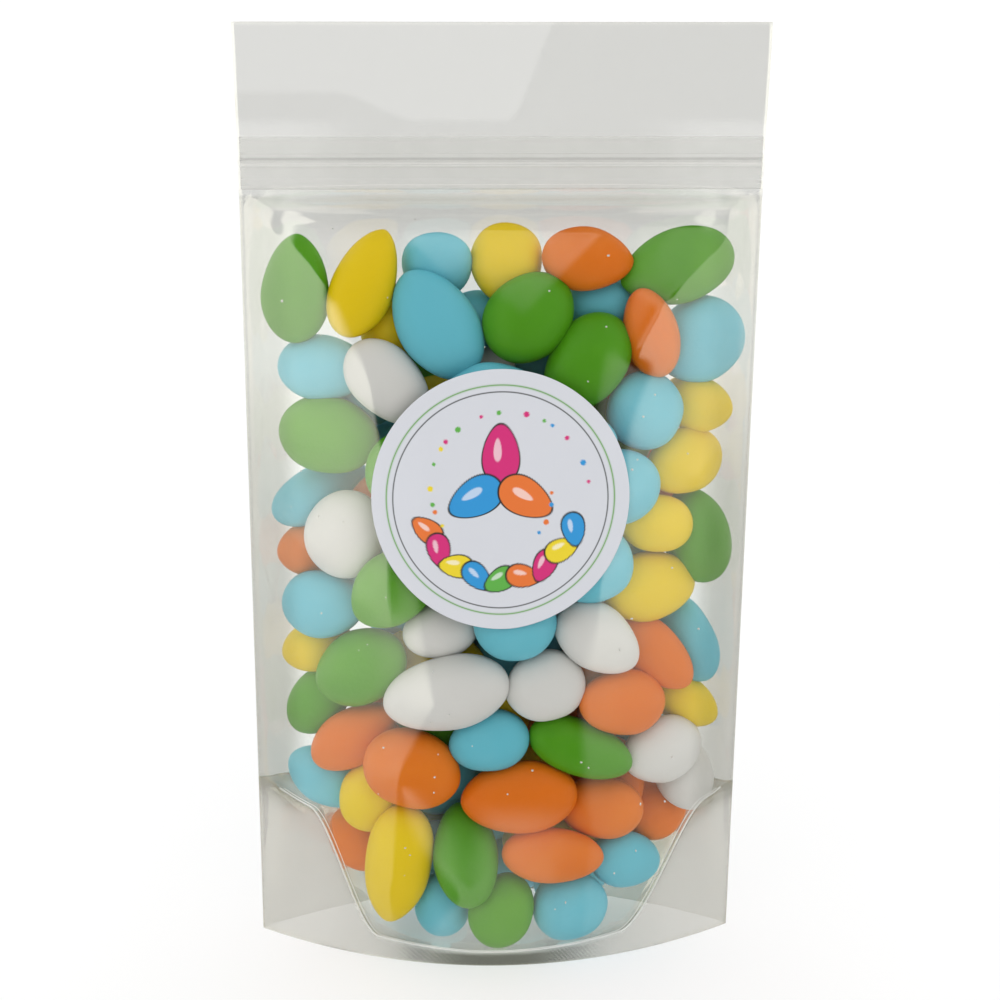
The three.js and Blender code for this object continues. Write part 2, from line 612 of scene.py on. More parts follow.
@dataclass(frozen=True)
class ClearFilm:
    """Clear glossy film: it lets most light through, mirrors a little and is slightly milky.

    Args:
        name: The material's name.
        tint: The share of light that passes straight through one face, in each channel.
        grey_tint_and_shade: The same share where the grey attribute is 1. It greys the film and also carries
            painted shade. More than 1 is darker still.
        milk: The colour of its milkiness.
        dim: The colour of the fine dark lines pressed into a seal. Its greenish dark is also painted shade
            under the almonds.
        gloss: The tint of its reflections.
        mirror: The share that a face mirrors when met head on.
        edge_mirror: How much more it mirrors when met edge on.
        roughness: How blurred its reflections are.
        haze: The milky share of a face, before the haze attribute is added.
        hatch: The share of those dark lines where the hatch attribute is 1.
        hatch_scale: How close they lie.
    """

    name: str
    tint: Colour = (0.985, 0.985, 0.978)
    grey_tint_and_shade: Colour = (0.8, 0.8, 0.785)
    milk: Colour = (0.8, 0.79, 0.76)
    dim: Colour = (0.1, 0.14, 0.11)
    gloss: Colour = (1.0, 0.98, 0.84)
    mirror: float = 0.06
    edge_mirror: float = 0.6
    roughness: float = 0.045
    haze: float = 0.001
    hatch: float = 0.2
    hatch_scale: float = 500.0

    def material(self) -> bpy.types.Material:
        """Mixes a clear, a milky, a dim and a mirroring shader. The mirror's share is its least share,
        plus the edge's share times the fifth power of how edge-on the face is seen."""
        graph = Graph(bpy.data.materials.new(self.name))
        edge_on = graph.node("LayerWeight", {"Blend": 0.5}).outputs["Facing"]
        power = graph.maths("POWER", edge_on, 5.0)
        mirror = graph.maths("MULTIPLY_ADD", power, self.edge_mirror, self.mirror)
        # The grey attribute darkens the clear share: greyer film, painted shade below the foot's seal, and
        # less grey in the header's painted reflection.
        tint = graph.blend(graph.attribute("grey"), self.tint, self.grey_tint_and_shade, clamp=False)
        place = graph.node("TexCoord").outputs["Object"]
        wave = {"Vector": place, "Scale": self.hatch_scale}
        lines = graph.node("TexWave", wave, bands_direction="DIAGONAL").outputs[1]
        # The pressed lines are the seal's pattern, and where they lie in the foot's middle they also serve as
        # painted shade.
        pressed = graph.fold("MULTIPLY", lines, graph.attribute("hatch"), self.hatch)
        haze = graph.maths("ADD", graph.attribute("haze"), self.haze)
        clear = graph.result("BsdfTransparent", {"Color": tint})
        milk = graph.result("BsdfDiffuse", {"Color": self.milk})
        dim = graph.result("BsdfDiffuse", {"Color": self.dim})
        gloss = graph.result("BsdfGlossy", {"Color": self.gloss, "Roughness": self.roughness})
        face = clear
        for share, over in ((haze, milk), (pressed, dim), (mirror, gloss)):
            face = graph.result("MixShader", {0: share, 1: face, 2: over})
        return graph.finish(face)


@dataclass(frozen=True)
class MilkyPlastic:
    """Milky satin plastic that lets part of the light straight through.

    Args:
        name: The material's name.
        clear: The share that passes straight through a face.
        milk: How bright the rest is.
        line: Its colour where the line attribute is 1.
        through: The tint of what passes straight through.
        cloud: How much that share differs from place to place.
        roughness: How blurred its shine is.
    """

    name: str
    clear: float = 0.62
    milk: float = 0.85
    line: Colour = (0.62, 0.62, 0.61)
    through: Colour = (0.97, 0.97, 0.96)
    cloud: float = 0.1
    roughness: float = 0.25

    def material(self) -> bpy.types.Material:
        """Mixes a clear shader with a satin pale one, which is darker where the line attribute says so."""
        graph = Graph(bpy.data.materials.new(self.name))
        clear = graph.result("BsdfTransparent", {"Color": self.through})
        pale = (self.milk, self.milk, self.milk * 0.985)
        colour = graph.blend(graph.attribute("line"), pale, self.line)
        milk = graph.result("BsdfPrincipled", {"Base Color": colour, "Roughness": self.roughness})
        share = graph.mottle(120.0, 2.0, self.cloud, self.clear - self.cloud / 2)
        return graph.finish(graph.result("MixShader", {0: share, 1: milk, 2: clear}))


class Sugar(Enum):
    """The colours of the sugar shells: each holds its deep and its pale colour."""

    GREEN = (srgb(76, 148, 10), srgb(100, 166, 30))
    YELLOW = (srgb(227, 195, 0), srgb(234, 205, 2))
    BLUE = (srgb(98, 184, 201), srgb(128, 202, 216))
    ORANGE = (srgb(220, 110, 12), srgb(228, 128, 34))
    WHITE = (srgb(210, 209, 205), srgb(222, 221, 217))

    @property
    def slot(self) -> str:
        """The name of this colour's material."""
        return "sugar_" + self.name.lower()


@dataclass(frozen=True)
class SugarShell:
    """A smooth sugar shell: satin, faintly mottled, a little different on each almond.

    Args:
        sugar: Which colour it has.
        roughness: How blurred its shine is.
        specular: How strong its shine is.
        bump: How far its dents and grain reach, in metres.
    """

    sugar: Sugar
    roughness: float = 0.42
    specular: float = 0.2
    bump: float = 0.00005

    def material(self) -> bpy.types.Material:
        """Mixes the deep and the pale colour by broad mottling and by the almond's own shade."""
        graph = Graph(bpy.data.materials.new(self.sugar.slot))
        deep, pale = self.sugar.value
        own = graph.maths("SUBTRACT", graph.attribute("shade"), 0.35)
        share = graph.mottle(95.0, 3.0, 0.9, own)
        broad = graph.maths("MULTIPLY", graph.noise(75.0), 9.0)
        grain = graph.maths("ADD", graph.noise(900.0), graph.mottle(220.0, 2.0, 2.5, broad))
        inputs = {
            "Base Color": graph.blend(share, deep, pale),
            "Roughness": graph.mottle(160.0, 2.0, 0.16, self.roughness - 0.08),
            "Normal": graph.bump(grain, self.bump),
            "Specular IOR Level": self.specular,
        }
        return graph.finish(graph.result("BsdfPrincipled", inputs))


@dataclass(frozen=True)
class LabelPaper:
    """Satin sticker paper whose print is a colour on each point of it."""

    name: str = "label_paper"
    roughness: float = 0.42
    specular: float = 0.4

    def material(self) -> bpy.types.Material:
        """The print's colour under a satin face with the faintest unevenness."""
        graph = Graph(bpy.data.materials.new(self.name))
        inputs = {
            "Base Color": graph.attribute("print", "Color"),
            "Roughness": graph.mottle(300.0, 3.0, 0.12, self.roughness - 0.06),
            "Normal": graph.bump(graph.noise(60.0), 0.0002),
            "Specular IOR Level": self.specular,
        }
        return graph.finish(graph.result("BsdfPrincipled", inputs))


@dataclass(frozen=True)
class PaleFloor:
    """The plain pale floor that the pouch stands on. Its own glow keeps it as white as the room."""

    name: str = "pale_floor"
    low: float = 0.49
    high: float = 0.51
    roughness: float = 0.85
    glow: float = 0.45

    def material(self) -> bpy.types.Material:
        """Matt grey that glows, with mottling too faint to see as a pattern."""
        graph = Graph(bpy.data.materials.new(self.name))
        inputs = {
            "Base Color": graph.blend(graph.noise(3.0, 3.0), (self.low,) * 3, (self.high,) * 3),
            "Roughness": self.roughness,
            "Emission Color": (1.0, 1.0, 1.0),
            "Emission Strength": self.glow,
        }
        return graph.finish(graph.result("BsdfPrincipled", inputs))


# ---- The almonds ----


@dataclass(frozen=True)
class Seen:
    """An almond that shows in the photograph, as an oval in the photograph's pixels.

    Args:
        sugar: Its colour.
        across: Its middle, from the left.
        down: Its middle, from the top.
        half_length: Half its length.
        half_width: Half its width.
        turn: The direction of its length, in degrees from rightwards, against the clock.
        layer: 0 at the film, 1 behind those and 2 deeper still.
        tip: 1 where it is pointed at the end that the turn names, -1 at the other, 0 at neither.
    """

    sugar: Sugar
    across: float
    down: float
    half_length: float
    half_width: float
    turn: float
    layer: int
    tip: int = 0


GROUPS = tuple(Sugar)
GREEN, YELLOW, BLUE, ORANGE, WHITE = GROUPS
SEEN = (
    Seen(GREEN, 296, 288, 54, 32, 88, 0, 1),
    Seen(YELLOW, 364, 283, 57, 31, 68, 0, 1),
    Seen(BLUE, 437, 265, 36, 34, 30, 1, 1),
    Seen(YELLOW, 506, 263, 40, 37, 80, 0, -1),
    Seen(ORANGE, 588, 259, 46, 31, -5, 0, 1),
    Seen(GREEN, 677, 266, 58, 37, 17, 0, -1),
    Seen(BLUE, 437, 324, 60, 40, -58, 0),
    Seen(GREEN, 529, 317, 50, 42, 45, 0),
    Seen(BLUE, 478, 320, 22, 20, 0, 1),
    Seen(BLUE, 600, 305, 36, 30, 0, 2),
    Seen(GREEN, 586, 364, 56, 38, 55, 0, -1),
    Seen(ORANGE, 651, 333, 45, 26, -75, 0),
    Seen(BLUE, 708, 337, 42, 40, 15, 1),
    Seen(YELLOW, 388, 328, 30, 22, 90, 2),
    Seen(BLUE, 322, 367, 42, 33, 0, 1),
    Seen(WHITE, 387, 382, 50, 34, -45, 0),
    Seen(BLUE, 495, 395, 50, 32, 0, 0),
    Seen(GREEN, 329, 435, 49, 38.5, -8, 0),
    Seen(BLUE, 645, 410, 40, 36, 80, 0),
    Seen(YELLOW, 700, 405, 34, 28, 0, 2),
    Seen(YELLOW, 684, 461, 38, 31, 20, 0),
    Seen(BLUE, 622, 487, 38, 36, 80, 0),
    Seen(GREEN, 693, 533, 49, 30, 90, 1),
    Seen(YELLOW, 655, 523, 36, 29, -5, 0),
    Seen(BLUE, 592, 565, 42, 38, 40, 0),
    Seen(YELLOW, 649, 586, 45, 34, 8, 0),
    Seen(BLUE, 694, 629, 47, 27, 88, 2),
    Seen(WHITE, 598, 638, 46, 33, -35, 0),
    Seen(ORANGE, 655, 651, 40, 25, -45, 1),
    Seen(BLUE, 515, 622, 42, 39, 0, 0),
    Seen(WHITE, 440, 630, 38, 29, 15, 1),
    Seen(WHITE, 446, 693, 64, 37, 12, 0),
    Seen(WHITE, 545, 686, 41, 35, 15, 0),
    Seen(ORANGE, 622, 702, 41, 32, 0, 0),
    Seen(YELLOW, 684, 700, 31, 24, 0, 1),
    Seen(GREEN, 360, 668, 45, 38, 25, 0),
    Seen(GREEN, 318, 700, 34, 26, 60, 1),
    Seen(YELLOW, 316, 647, 22, 21, 0, 2),
    Seen(BLUE, 323, 603, 38, 32, -10, 1),
    Seen(ORANGE, 312, 549, 27, 25, 0, 2),
    Seen(GREEN, 391, 590, 44, 36, 40, 0),
    Seen(WHITE, 345, 533, 42, 39, 60, 0),
    Seen(BLUE, 320, 493, 46, 26, 5, 1),
    Seen(GREEN, 395, 470, 36, 30, 90, 0),
    Seen(ORANGE, 354, 736, 43, 28, 8, 1),
    Seen(ORANGE, 412, 769, 50, 38, -18, 0),
    Seen(BLUE, 328, 777, 34, 26, -10, 2),
    Seen(YELLOW, 372, 795, 32, 30, 60, 1),
    Seen(ORANGE, 362, 838, 36, 28, -35, 2),
    Seen(YELLOW, 398, 864, 57, 34, 80, 0, -1),
    Seen(BLUE, 489, 741, 41, 30, 12, 0),
    Seen(GREEN, 581, 748, 54, 28, -20, 0),
    Seen(ORANGE, 519, 797, 59, 35, 5, 0),
    Seen(ORANGE, 601, 807, 42, 30, -5, 1),
    Seen(WHITE, 662, 749, 38, 30, 15, 0),
    Seen(WHITE, 690, 764, 37, 24, 85, 2),
    Seen(ORANGE, 658, 805, 31, 29, 0, 1),
    Seen(GREEN, 466, 855, 48, 32, -75, 1),
    Seen(ORANGE, 553, 855, 51, 26, -3, 0),
    Seen(BLUE, 625, 858, 34, 26, 0, 1),
    Seen(BLUE, 442, 905, 30, 28, 90, 2),
    Seen(GREEN, 502, 911, 35, 31, 75, 1),
    Seen(BLUE, 570, 906, 38, 31, 10, 1),
)


# The shares of the colours among the hidden almonds, in the colours' order.
SUGAR_SHARES = (0.2, 0.17, 0.3, 0.18, 0.15)
# The arrays of the heap, in the order in which they are given.
HEAP_ROWS = ("middles", "axes", "halves", "sugars", "tips", "ease", "turning")


@dataclass(frozen=True)
class Level:
    """One level of hidden almonds, in millimetres.

    Args:
        side: 1 at the back, 0 in the middle and -1 at the front.
        pitch: The step across between places.
        rise: The step up between them.
        clear: How far a place must be from the middles of other almonds.
        least_depth: The least half depth of the pouch there.
    """

    side: float
    pitch: float
    rise: float
    clear: float
    least_depth: float


@dataclass
class Almonds:
    """The heap of almonds: those that the photograph shows, and the hidden ones around them.

    Sizes are half lengths in millimetres. The arrays have one row for each almond: its middle, its
    length, width and thickness as three directions, its three half sizes, its colour's number, how
    pointed it is, how freely it moves and how freely it turns. An almond can push the film out by
    a little near the sides. Values in threes are for the layers 0, 1 and 2 of the seen almonds.
    """

    form: PouchForm
    camera: PhotoCamera
    rng: np.random.Generator
    thickness_share: float = 0.74
    thickness_range: tuple[float, float] = (5.9, 7.6)
    least_behind: tuple[float, float] = (9.5, 7.2)
    follows_film: float = 0.8
    layer_step: float = 7.0
    layer_depth: tuple[float, float, float] = (1.0, 6.0, 12.0)
    layer_sideways: tuple[float, float, float] = (0.0, 0.006, 0.03)
    layer_inwards: tuple[float, float, float] = (0.15, 0.5, 0.9)
    layer_turning: tuple[float, float, float] = (0.0, 0.15, 0.3)
    push_side: float = 60.5
    push_top: float = 193.0
    push_fade: float = 7.0
    push_front: float = 4.0
    push_back: float = 6.2
    back_share: float = 0.8
    foot_gap: float = 7.0
    inside_film: float = 7.5
    hidden_least: tuple[float, float, float] = (12.2, 8.2, 6.1)
    hidden_most: tuple[float, float, float] = (14.4, 9.4, 7.2)
    plug_least: tuple[float, float, float] = (11.0, 8.0, 5.6)
    plug_most: tuple[float, float, float] = (12.6, 8.8, 6.2)
    rings: int = 24
    sides: int = 36
    leak_span: tuple[float, float, float, float] = (425.0, 625.0, 335.0, 870.0)
    leak_step: float = 4.0
    middles: np.ndarray = field(default_factory=lambda: np.zeros((0, 3)))
    axes: np.ndarray = field(default_factory=lambda: np.zeros((0, 3, 3)))
    halves: np.ndarray = field(default_factory=lambda: np.zeros((0, 3)))
    sugars: np.ndarray = field(default_factory=lambda: np.zeros(0, int))
    tips: np.ndarray = field(default_factory=lambda: np.zeros(0))
    ease: np.ndarray = field(default_factory=lambda: np.zeros((0, 3, 3)))
    turning: np.ndarray = field(default_factory=lambda: np.zeros(0))

    def add(self, *rows: np.ndarray) -> None:
        """Adds almonds to the heap, as rows of the arrays that HEAP_ROWS names."""
        for name, more in zip(HEAP_ROWS, rows, strict=True):
            setattr(self, name, np.concatenate([getattr(self, name), more]))

    def room(self, points: np.ndarray, side: float = -1.0) -> np.ndarray:
        """How far out almonds may reach at points.

        Args:
            points: Places.
            side: -1 for the front and 1 for the back.

        Returns:
            The taut front's depth, and a little more near its sides, where an almond pushes the
            film out. The back takes what the front's facets leave.
        """
        x = points[..., 0] - self.form.lean_at(points[..., 2])
        z = points[..., 2]
        front = self.form.front_depth(x, z)
        near = fall(np.abs(x), self.push_side, self.push_fade) * fall(z, self.push_top, self.push_fade)
        if side < 0:
            return np.maximum(front, self.push_front * near)
        whole = self.form.half_depth(x, z)
        return np.maximum(whole, self.push_back * near) + self.back_share * np.maximum(whole - front, 0)

    def film_reach(self, rays: np.ndarray) -> np.ndarray:
        """How far the film lies along each of the camera's rays, found from a guess in small steps."""
        eye = np.array(self.camera.place)
        guess, share = 20.0, 0.7
        reach = (-eye[1] - guess) / rays[:, 1]
        for _ in range(30):
            points = eye + reach[:, None] * rays
            reach += share * (-self.room(points) - points[:, 1]) / rays[:, 1]
        return reach

    def lay(self, points: np.ndarray, rays: np.ndarray, seen: np.ndarray) -> tuple[np.ndarray, np.ndarray]:
        """Turns and sizes almonds so that they lie along the film and fill their ovals.

        Args:
            points: Where their rays meet the film.
            rays: The camera's rays.
            seen: Rows of an oval's half length, half width, turn in degrees and layer.

        Returns:
            The three directions of each almond, and its three half sizes. A direction in the
            picture slides along its ray until it lies in the film, most of the way.
        """
        half_length, half_width, turn, layer = seen.T
        turn = np.radians(turn)[:, None]
        right, up, ahead = self.camera.axes()
        middle_behind = 7.0
        away = (points - np.array(self.camera.place)) @ ahead + middle_behind
        scale = self.camera.focal_pixels / away
        x = points[:, 0] - self.form.lean_at(points[:, 2])
        across, height = np.clip(self.form.front_slope(x, points[:, 2]), -1.2, 1.2)
        normal = unit(np.stack([-across, -np.ones_like(x), -height], axis=1))
        axes, stretch = [], []
        for view in (np.cos(turn) * right + np.sin(turn) * up, -np.sin(turn) * right + np.cos(turn) * up):
            flat = unit(view - np.sum(view * rays, 1, keepdims=True) * rays)
            slide = -np.sum(flat * normal, 1) / np.sum(rays * normal, 1)
            laid = flat + self.follows_film * slide[:, None] * rays
            stretch.append(np.clip(np.linalg.norm(laid, axis=1), 1.0, 1.25))
            axes.append(unit(laid))
        length, width = half_length / scale * stretch[0], half_width / scale * stretch[1]
        length = np.where(layer > 0, np.maximum(length, self.least_behind[0]), length)
        width = np.where(layer > 0, np.maximum(width, self.least_behind[1]), width)
        thick = np.clip(self.thickness_share * width, *self.thickness_range)
        thick = thick - 0.5 * rise(np.abs(x), 38.0, 8.0)
        halves = np.stack([length, np.maximum(width, thick + 0.7), thick], axis=1)
        third = unit(np.cross(axes[0], axes[1]))
        return np.stack([axes[0], np.cross(third, axes[0]), third], axis=1), halves

    def place_seen(self) -> None:
        """Puts the photograph's almonds where its pixels show them, touching the film or behind it."""
        seen = np.array([(s.half_length, s.half_width, s.turn, s.layer) for s in SEEN], float)
        layer = seen[:, 3].astype(int)
        rays = self.camera.rays(np.array([(s.across, s.down) for s in SEEN], float))
        eye = np.array(self.camera.place)
        reach = self.film_reach(rays)
        frames, halves = self.lay(eye + reach[:, None] * rays, rays, seen)
        local = np.einsum("bk,nk,nkj->nbj", self.sphere_points(), halves, frames)
        sink, share, most = 6.0, 0.6, 3.0
        reach = reach + sink
        for _ in range(25):
            around = (eye + reach[:, None] * rays)[:, None] + local
            out = np.max(-self.room(around) - around[..., 1], axis=1)
            reach += share * np.clip(out, -most, most) / rays[:, 1]
        middle = eye + (reach + layer * self.layer_step / rays[:, 1])[:, None] * rays
        middle[:, 1] = np.minimum(middle[:, 1], np.array(self.layer_depth)[layer])
        along = rays[:, :, None] * rays[:, None, :]
        sideways = np.array(self.layer_sideways)[layer][:, None, None]
        inwards = np.array(self.layer_inwards)[layer][:, None, None]
        ease = sideways * (np.eye(3) - along) + inwards * along
        sugars = np.array([GROUPS.index(s.sugar) for s in SEEN])
        tips = np.array([s.tip for s in SEEN], float)
        tips = np.where(tips == 0, self.rng.uniform(-0.5, 0.5, len(tips)), tips)
        self.add(middle, frames, halves, sugars, tips, ease, np.array(self.layer_turning)[layer])

    def sphere_points(self, count: int = 120) -> np.ndarray:
        """Points spread evenly over a unit sphere on a spiral that turns by the golden angle."""
        index = np.arange(count) + 0.5
        polar = np.arccos(1 - 2 * index / count)
        turn = math.pi * (1 + math.sqrt(5)) * index
        return np.stack([np.sin(polar) * np.cos(turn), np.sin(polar) * np.sin(turn), np.cos(polar)], axis=1)

    def apart(self, spots: np.ndarray) -> np.ndarray:
        """How far each spot is from the nearest almond's middle."""
        return np.linalg.norm(spots[:, None] - self.middles[None], axis=2).min(axis=1)

    def place_hidden(self, level: Level) -> None:
        """Adds one level's almonds, of random turns, where there is room."""
        side, pitch = level.side, level.pitch
        rows = np.arange(12.0, 188.0, level.rise)
        columns = np.arange(-55.0, 56.0, pitch)
        x, z = np.array([(x + (pitch / 2 if i % 2 else 0), z) for i, z in enumerate(rows) for x in columns]).T
        x = x + self.rng.uniform(-2.0, 2.0, len(x))
        z = z + self.rng.uniform(-1.5, 1.5, len(z))
        depth = self.form.half_depth(x, z)
        y = side * np.maximum(depth - self.inside_film, 0)
        foot = self.form.foot_height(x, np.abs(side) * np.ones_like(x))
        fits = (depth > level.least_depth) & (z > foot + self.foot_gap)
        points = np.stack([x + self.form.lean_at(z), y, z], axis=1)[fits]
        points = points[self.apart(points) > level.clear]
        count = len(points)
        angle = self.rng.uniform(0, 2 * math.pi, count)
        tilt = self.rng.normal(0, 0.22, (count, 2)) * (1.0 if side else 2.5)
        long = np.stack([np.cos(angle), tilt[:, 0], np.sin(angle)], axis=1)
        face = np.stack([tilt[:, 1], np.full(count, side if side else 1.0), tilt[:, 0] * 0.5], axis=1)
        thick = unit(face - np.sum(face * unit(long), 1, keepdims=True) * unit(long))
        frames = np.stack([unit(long), np.cross(thick, unit(long)), thick], axis=1)
        halves = self.rng.uniform(self.hidden_least, self.hidden_most, (count, 3))
        sugars = self.rng.choice(len(GROUPS), count, p=SUGAR_SHARES)
        tips = self.rng.choice([-1.0, 1.0], count) * self.rng.uniform(0.3, 1.0, count)
        self.add(points, frames, halves, sugars, tips, np.tile(np.eye(3), (count, 1, 1)), np.ones(count))
        LOG.info("%d almonds placed", len(self.middles))

    def leaks(self) -> np.ndarray:
        """The camera's rays that pass the heap's middle without meeting an almond.

        Returns:
            Unit directions. In an almond's own half sizes it is a ball of radius 1, so a ray
            misses it where its least distance from the almond's middle is about 1 or more.
        """
        left, right, top, bottom = self.leak_span
        places = np.meshgrid(np.arange(left, right, self.leak_step), np.arange(top, bottom, self.leak_step))
        rays = self.camera.rays(np.stack([place.ravel() for place in places], axis=1))
        start = np.einsum("nj,nkj->nk", np.array(self.camera.place) - self.middles, self.axes) / self.halves
        way = np.einsum("mj,nkj->mnk", rays, self.axes) / self.halves
        along = np.einsum("nk,mnk->mn", start, way)
        least = np.sum(start**2, 1) - along**2 / np.sum(way**2, axis=2)
        return rays[(least > 0.9).all(axis=1)]

    def plug(self, most: int) -> None:
        """Adds almonds deep inside, one at a time, where the camera would see right through.

        Args:
            most: The largest number that is added.
        """
        eye = np.array(self.camera.place)
        right, up, _ = self.camera.axes()
        depth = np.linspace(2.0, 14.0, 9)
        for number in range(most):
            rays = self.leaks()
            if len(rays) < 3:
                break
            ray = rays[self.rng.integers(len(rays))]
            spots = eye + ((depth - eye[1]) / ray[1])[:, None] * ray
            x, z = spots[:, 0] - self.form.lean_at(spots[:, 2]), spots[:, 2]
            foot = self.form.foot_height(x, 0 * x)
            fits = (self.form.half_depth(x, z) > np.abs(depth) + 4) & (z > foot + self.foot_gap)
            if not fits.any():
                continue
            best = (self.apart(spots) * fits).argmax()
            angle = self.rng.uniform(0, math.pi)
            long = np.cos(angle) * right + np.sin(angle) * up
            axes = np.stack([long, np.cross(ray, long), ray])[None]
            halves = self.rng.uniform(self.plug_least, self.plug_most)[None]
            sugar = np.array([self.rng.choice(len(GROUPS), p=SUGAR_SHARES)])
            tip = self.rng.uniform(0.3, 1.0, 1)
            self.add(spots[best][None], axes, halves, sugar, tip, 0.25 * np.eye(3)[None], np.array([0.2]))
        LOG.info("%d plugs, %d leaks left", number, len(self.leaks()))

    def balls(self) -> tuple[np.ndarray, np.ndarray]:
        """Each almond as 17 balls on the flat oval at its heart.

        Returns:
            The balls' places and radii. The oval's half sizes are the almond's squared, less its
            thickness squared, over its own. A ball's radius is the thickness times the square
            root of one less its place's squares, each over the difference of squared sizes.
        """
        turn = round_angles(8)
        share = np.concatenate([[0.0], np.full(8, 0.5), np.full(8, 1.0)])
        x = share * np.concatenate([[0.0], np.cos(turn), np.cos(turn + math.pi / 8)])
        y = share * np.concatenate([[0.0], np.sin(turn), np.sin(turn + math.pi / 8)])
        a, b, c = self.halves.T[:, :, None]
        along, over = x * (a**2 - c**2) / a, y * (b**2 - c**2) / b
        radii = c * np.sqrt(np.clip(1 - along**2 / (a**2 - c**2) - over**2 / (b**2 - c**2), 0.05, 1))
        places = along[..., None] * self.axes[:, None, 0] + over[..., None] * self.axes[:, None, 1]
        return self.middles[:, None] + places, radii

    def settle(self, rounds: int) -> np.ndarray:
        """Pushes almonds out of each other and into the film.

        Args:
            rounds: How many times all of them are pushed.

        Returns:
            How deep each almond still lies in another, at worst.
        """
        reach, share, most_move, most_turn = 30, 0.7, 3, 0.1
        worst = np.zeros(len(self.middles))
        for _ in range(rounds):
            places, radii = self.balls()
            apart = np.linalg.norm(self.middles[:, None] - self.middles[None], axis=2)
            one, other = np.nonzero(np.triu(apart < reach, 1))
            gap = places[one][:, :, None] - places[other][:, None, :]
            far = np.linalg.norm(gap, axis=3)
            deep = radii[one][:, :, None] + radii[other][:, None, :] - far
            row = np.arange(len(one))
            flat = deep.reshape(len(one), -1)
            pick = flat.argmax(axis=1)
            depth = flat[row, pick]
            i, j = np.divmod(pick, radii.shape[1])
            push = gap[row, i, j] / np.maximum(far[row, i, j], 1e-6)[:, None]
            touch = places[one, i] - push * (radii[one, i] - depth / 2)[:, None]
            hit = depth > 0
            move, spin = self.walls(places, radii)
            pair_move, pair_spin = np.zeros_like(move), np.zeros_like(spin)
            for index, sign in ((one, 0.5), (other, -0.5)):
                force = sign * (push * depth[:, None])[hit]
                np.add.at(pair_move, index[hit], force)
                np.add.at(pair_spin, index[hit], np.cross(touch[hit] - self.middles[index[hit]], force))
            move, spin = pair_move + move, pair_spin + spin
            move = np.clip(move, -most_move, most_move)
            self.middles = self.middles + share * np.einsum("nij,nj->ni", self.ease, move)
            angle = np.clip(spin * (self.turning / 90.0)[:, None], -most_turn, most_turn)
            self.axes = self.axes + np.cross(angle[:, None], self.axes)
            first = unit(self.axes[:, 0])
            third = unit(np.cross(first, self.axes[:, 1]))
            self.axes = np.stack([first, np.cross(third, first), third], axis=1)
            worst = np.zeros(len(self.middles))
            for index in (one, other):
                np.maximum.at(worst, index[hit], depth[hit])
        return worst

    def walls(self, places: np.ndarray, radii: np.ndarray) -> tuple[np.ndarray, np.ndarray]:
        """How the film and the folded foot push each almond.

        Args:
            places: The balls of each almond.
            radii: Their radii.

        Returns:
            The pushes' sum, and the sum of their turning moments, for each almond.
        """
        x = places[..., 0] - self.form.lean_at(places[..., 2])
        z = places[..., 2]
        over, up = np.array([0.5, 0, 0]), np.array([0, 0, 0.5])
        forces = []
        for side in (-1.0, 1.0):
            depth = self.room(places, side)
            across, height = (
                np.clip(self.room(places + step, side) - self.room(places - step, side), -2.5, 2.5)
                for step in (over, up)
            )
            long = np.sqrt(1 + across**2 + height**2)
            out = np.maximum(radii - (depth - side * places[..., 1]) / long, 0)
            inward = np.stack([across, np.full_like(x, -side), height], axis=-1) / long[..., None]
            forces.append(0.5 * out[..., None] * inward)
        share = np.clip(np.abs(places[..., 1]) / np.maximum(depth, 1.0), 0, 1)
        lift = np.maximum(self.form.foot_height(x, share) + 0.6 + radii - z, 0)
        forces.append(0.5 * lift[..., None] * np.array([0.0, 0.0, 1.0]))
        arms = places - self.middles[:, None]
        move = sum(force.sum(axis=1) / 3 for force in forces)
        spin = sum(np.cross(arms, force).sum(axis=1) / 3 for force in forces)
        return move, spin

    def pack(self, steps: tuple[tuple[int, float], ...], last_rounds: int) -> None:
        """Settles the heap, and takes out hidden almonds that find no room.

        Args:
            steps: For each step, its rounds of pushing and the deepest overlap that is left in.
            last_rounds: The rounds of pushing after them.
        """
        for rounds, most in steps:
            worst = self.settle(rounds)
            cramped = (self.turning == 1.0) & (worst > most)
            order = np.argsort(-worst * cramped)[: max(3, int(cramped.sum()) // 3)]
            keep = np.ones(len(worst), bool)
            keep[order[worst[order] * cramped[order] > most]] = False
            for name in HEAP_ROWS:
                setattr(self, name, getattr(self, name)[keep])
        worst = self.settle(last_rounds)
        middle = np.median(worst)
        LOG.info("%d almonds, overlaps: middle %.2f mm, worst %.2f mm", len(worst), middle, worst.max())

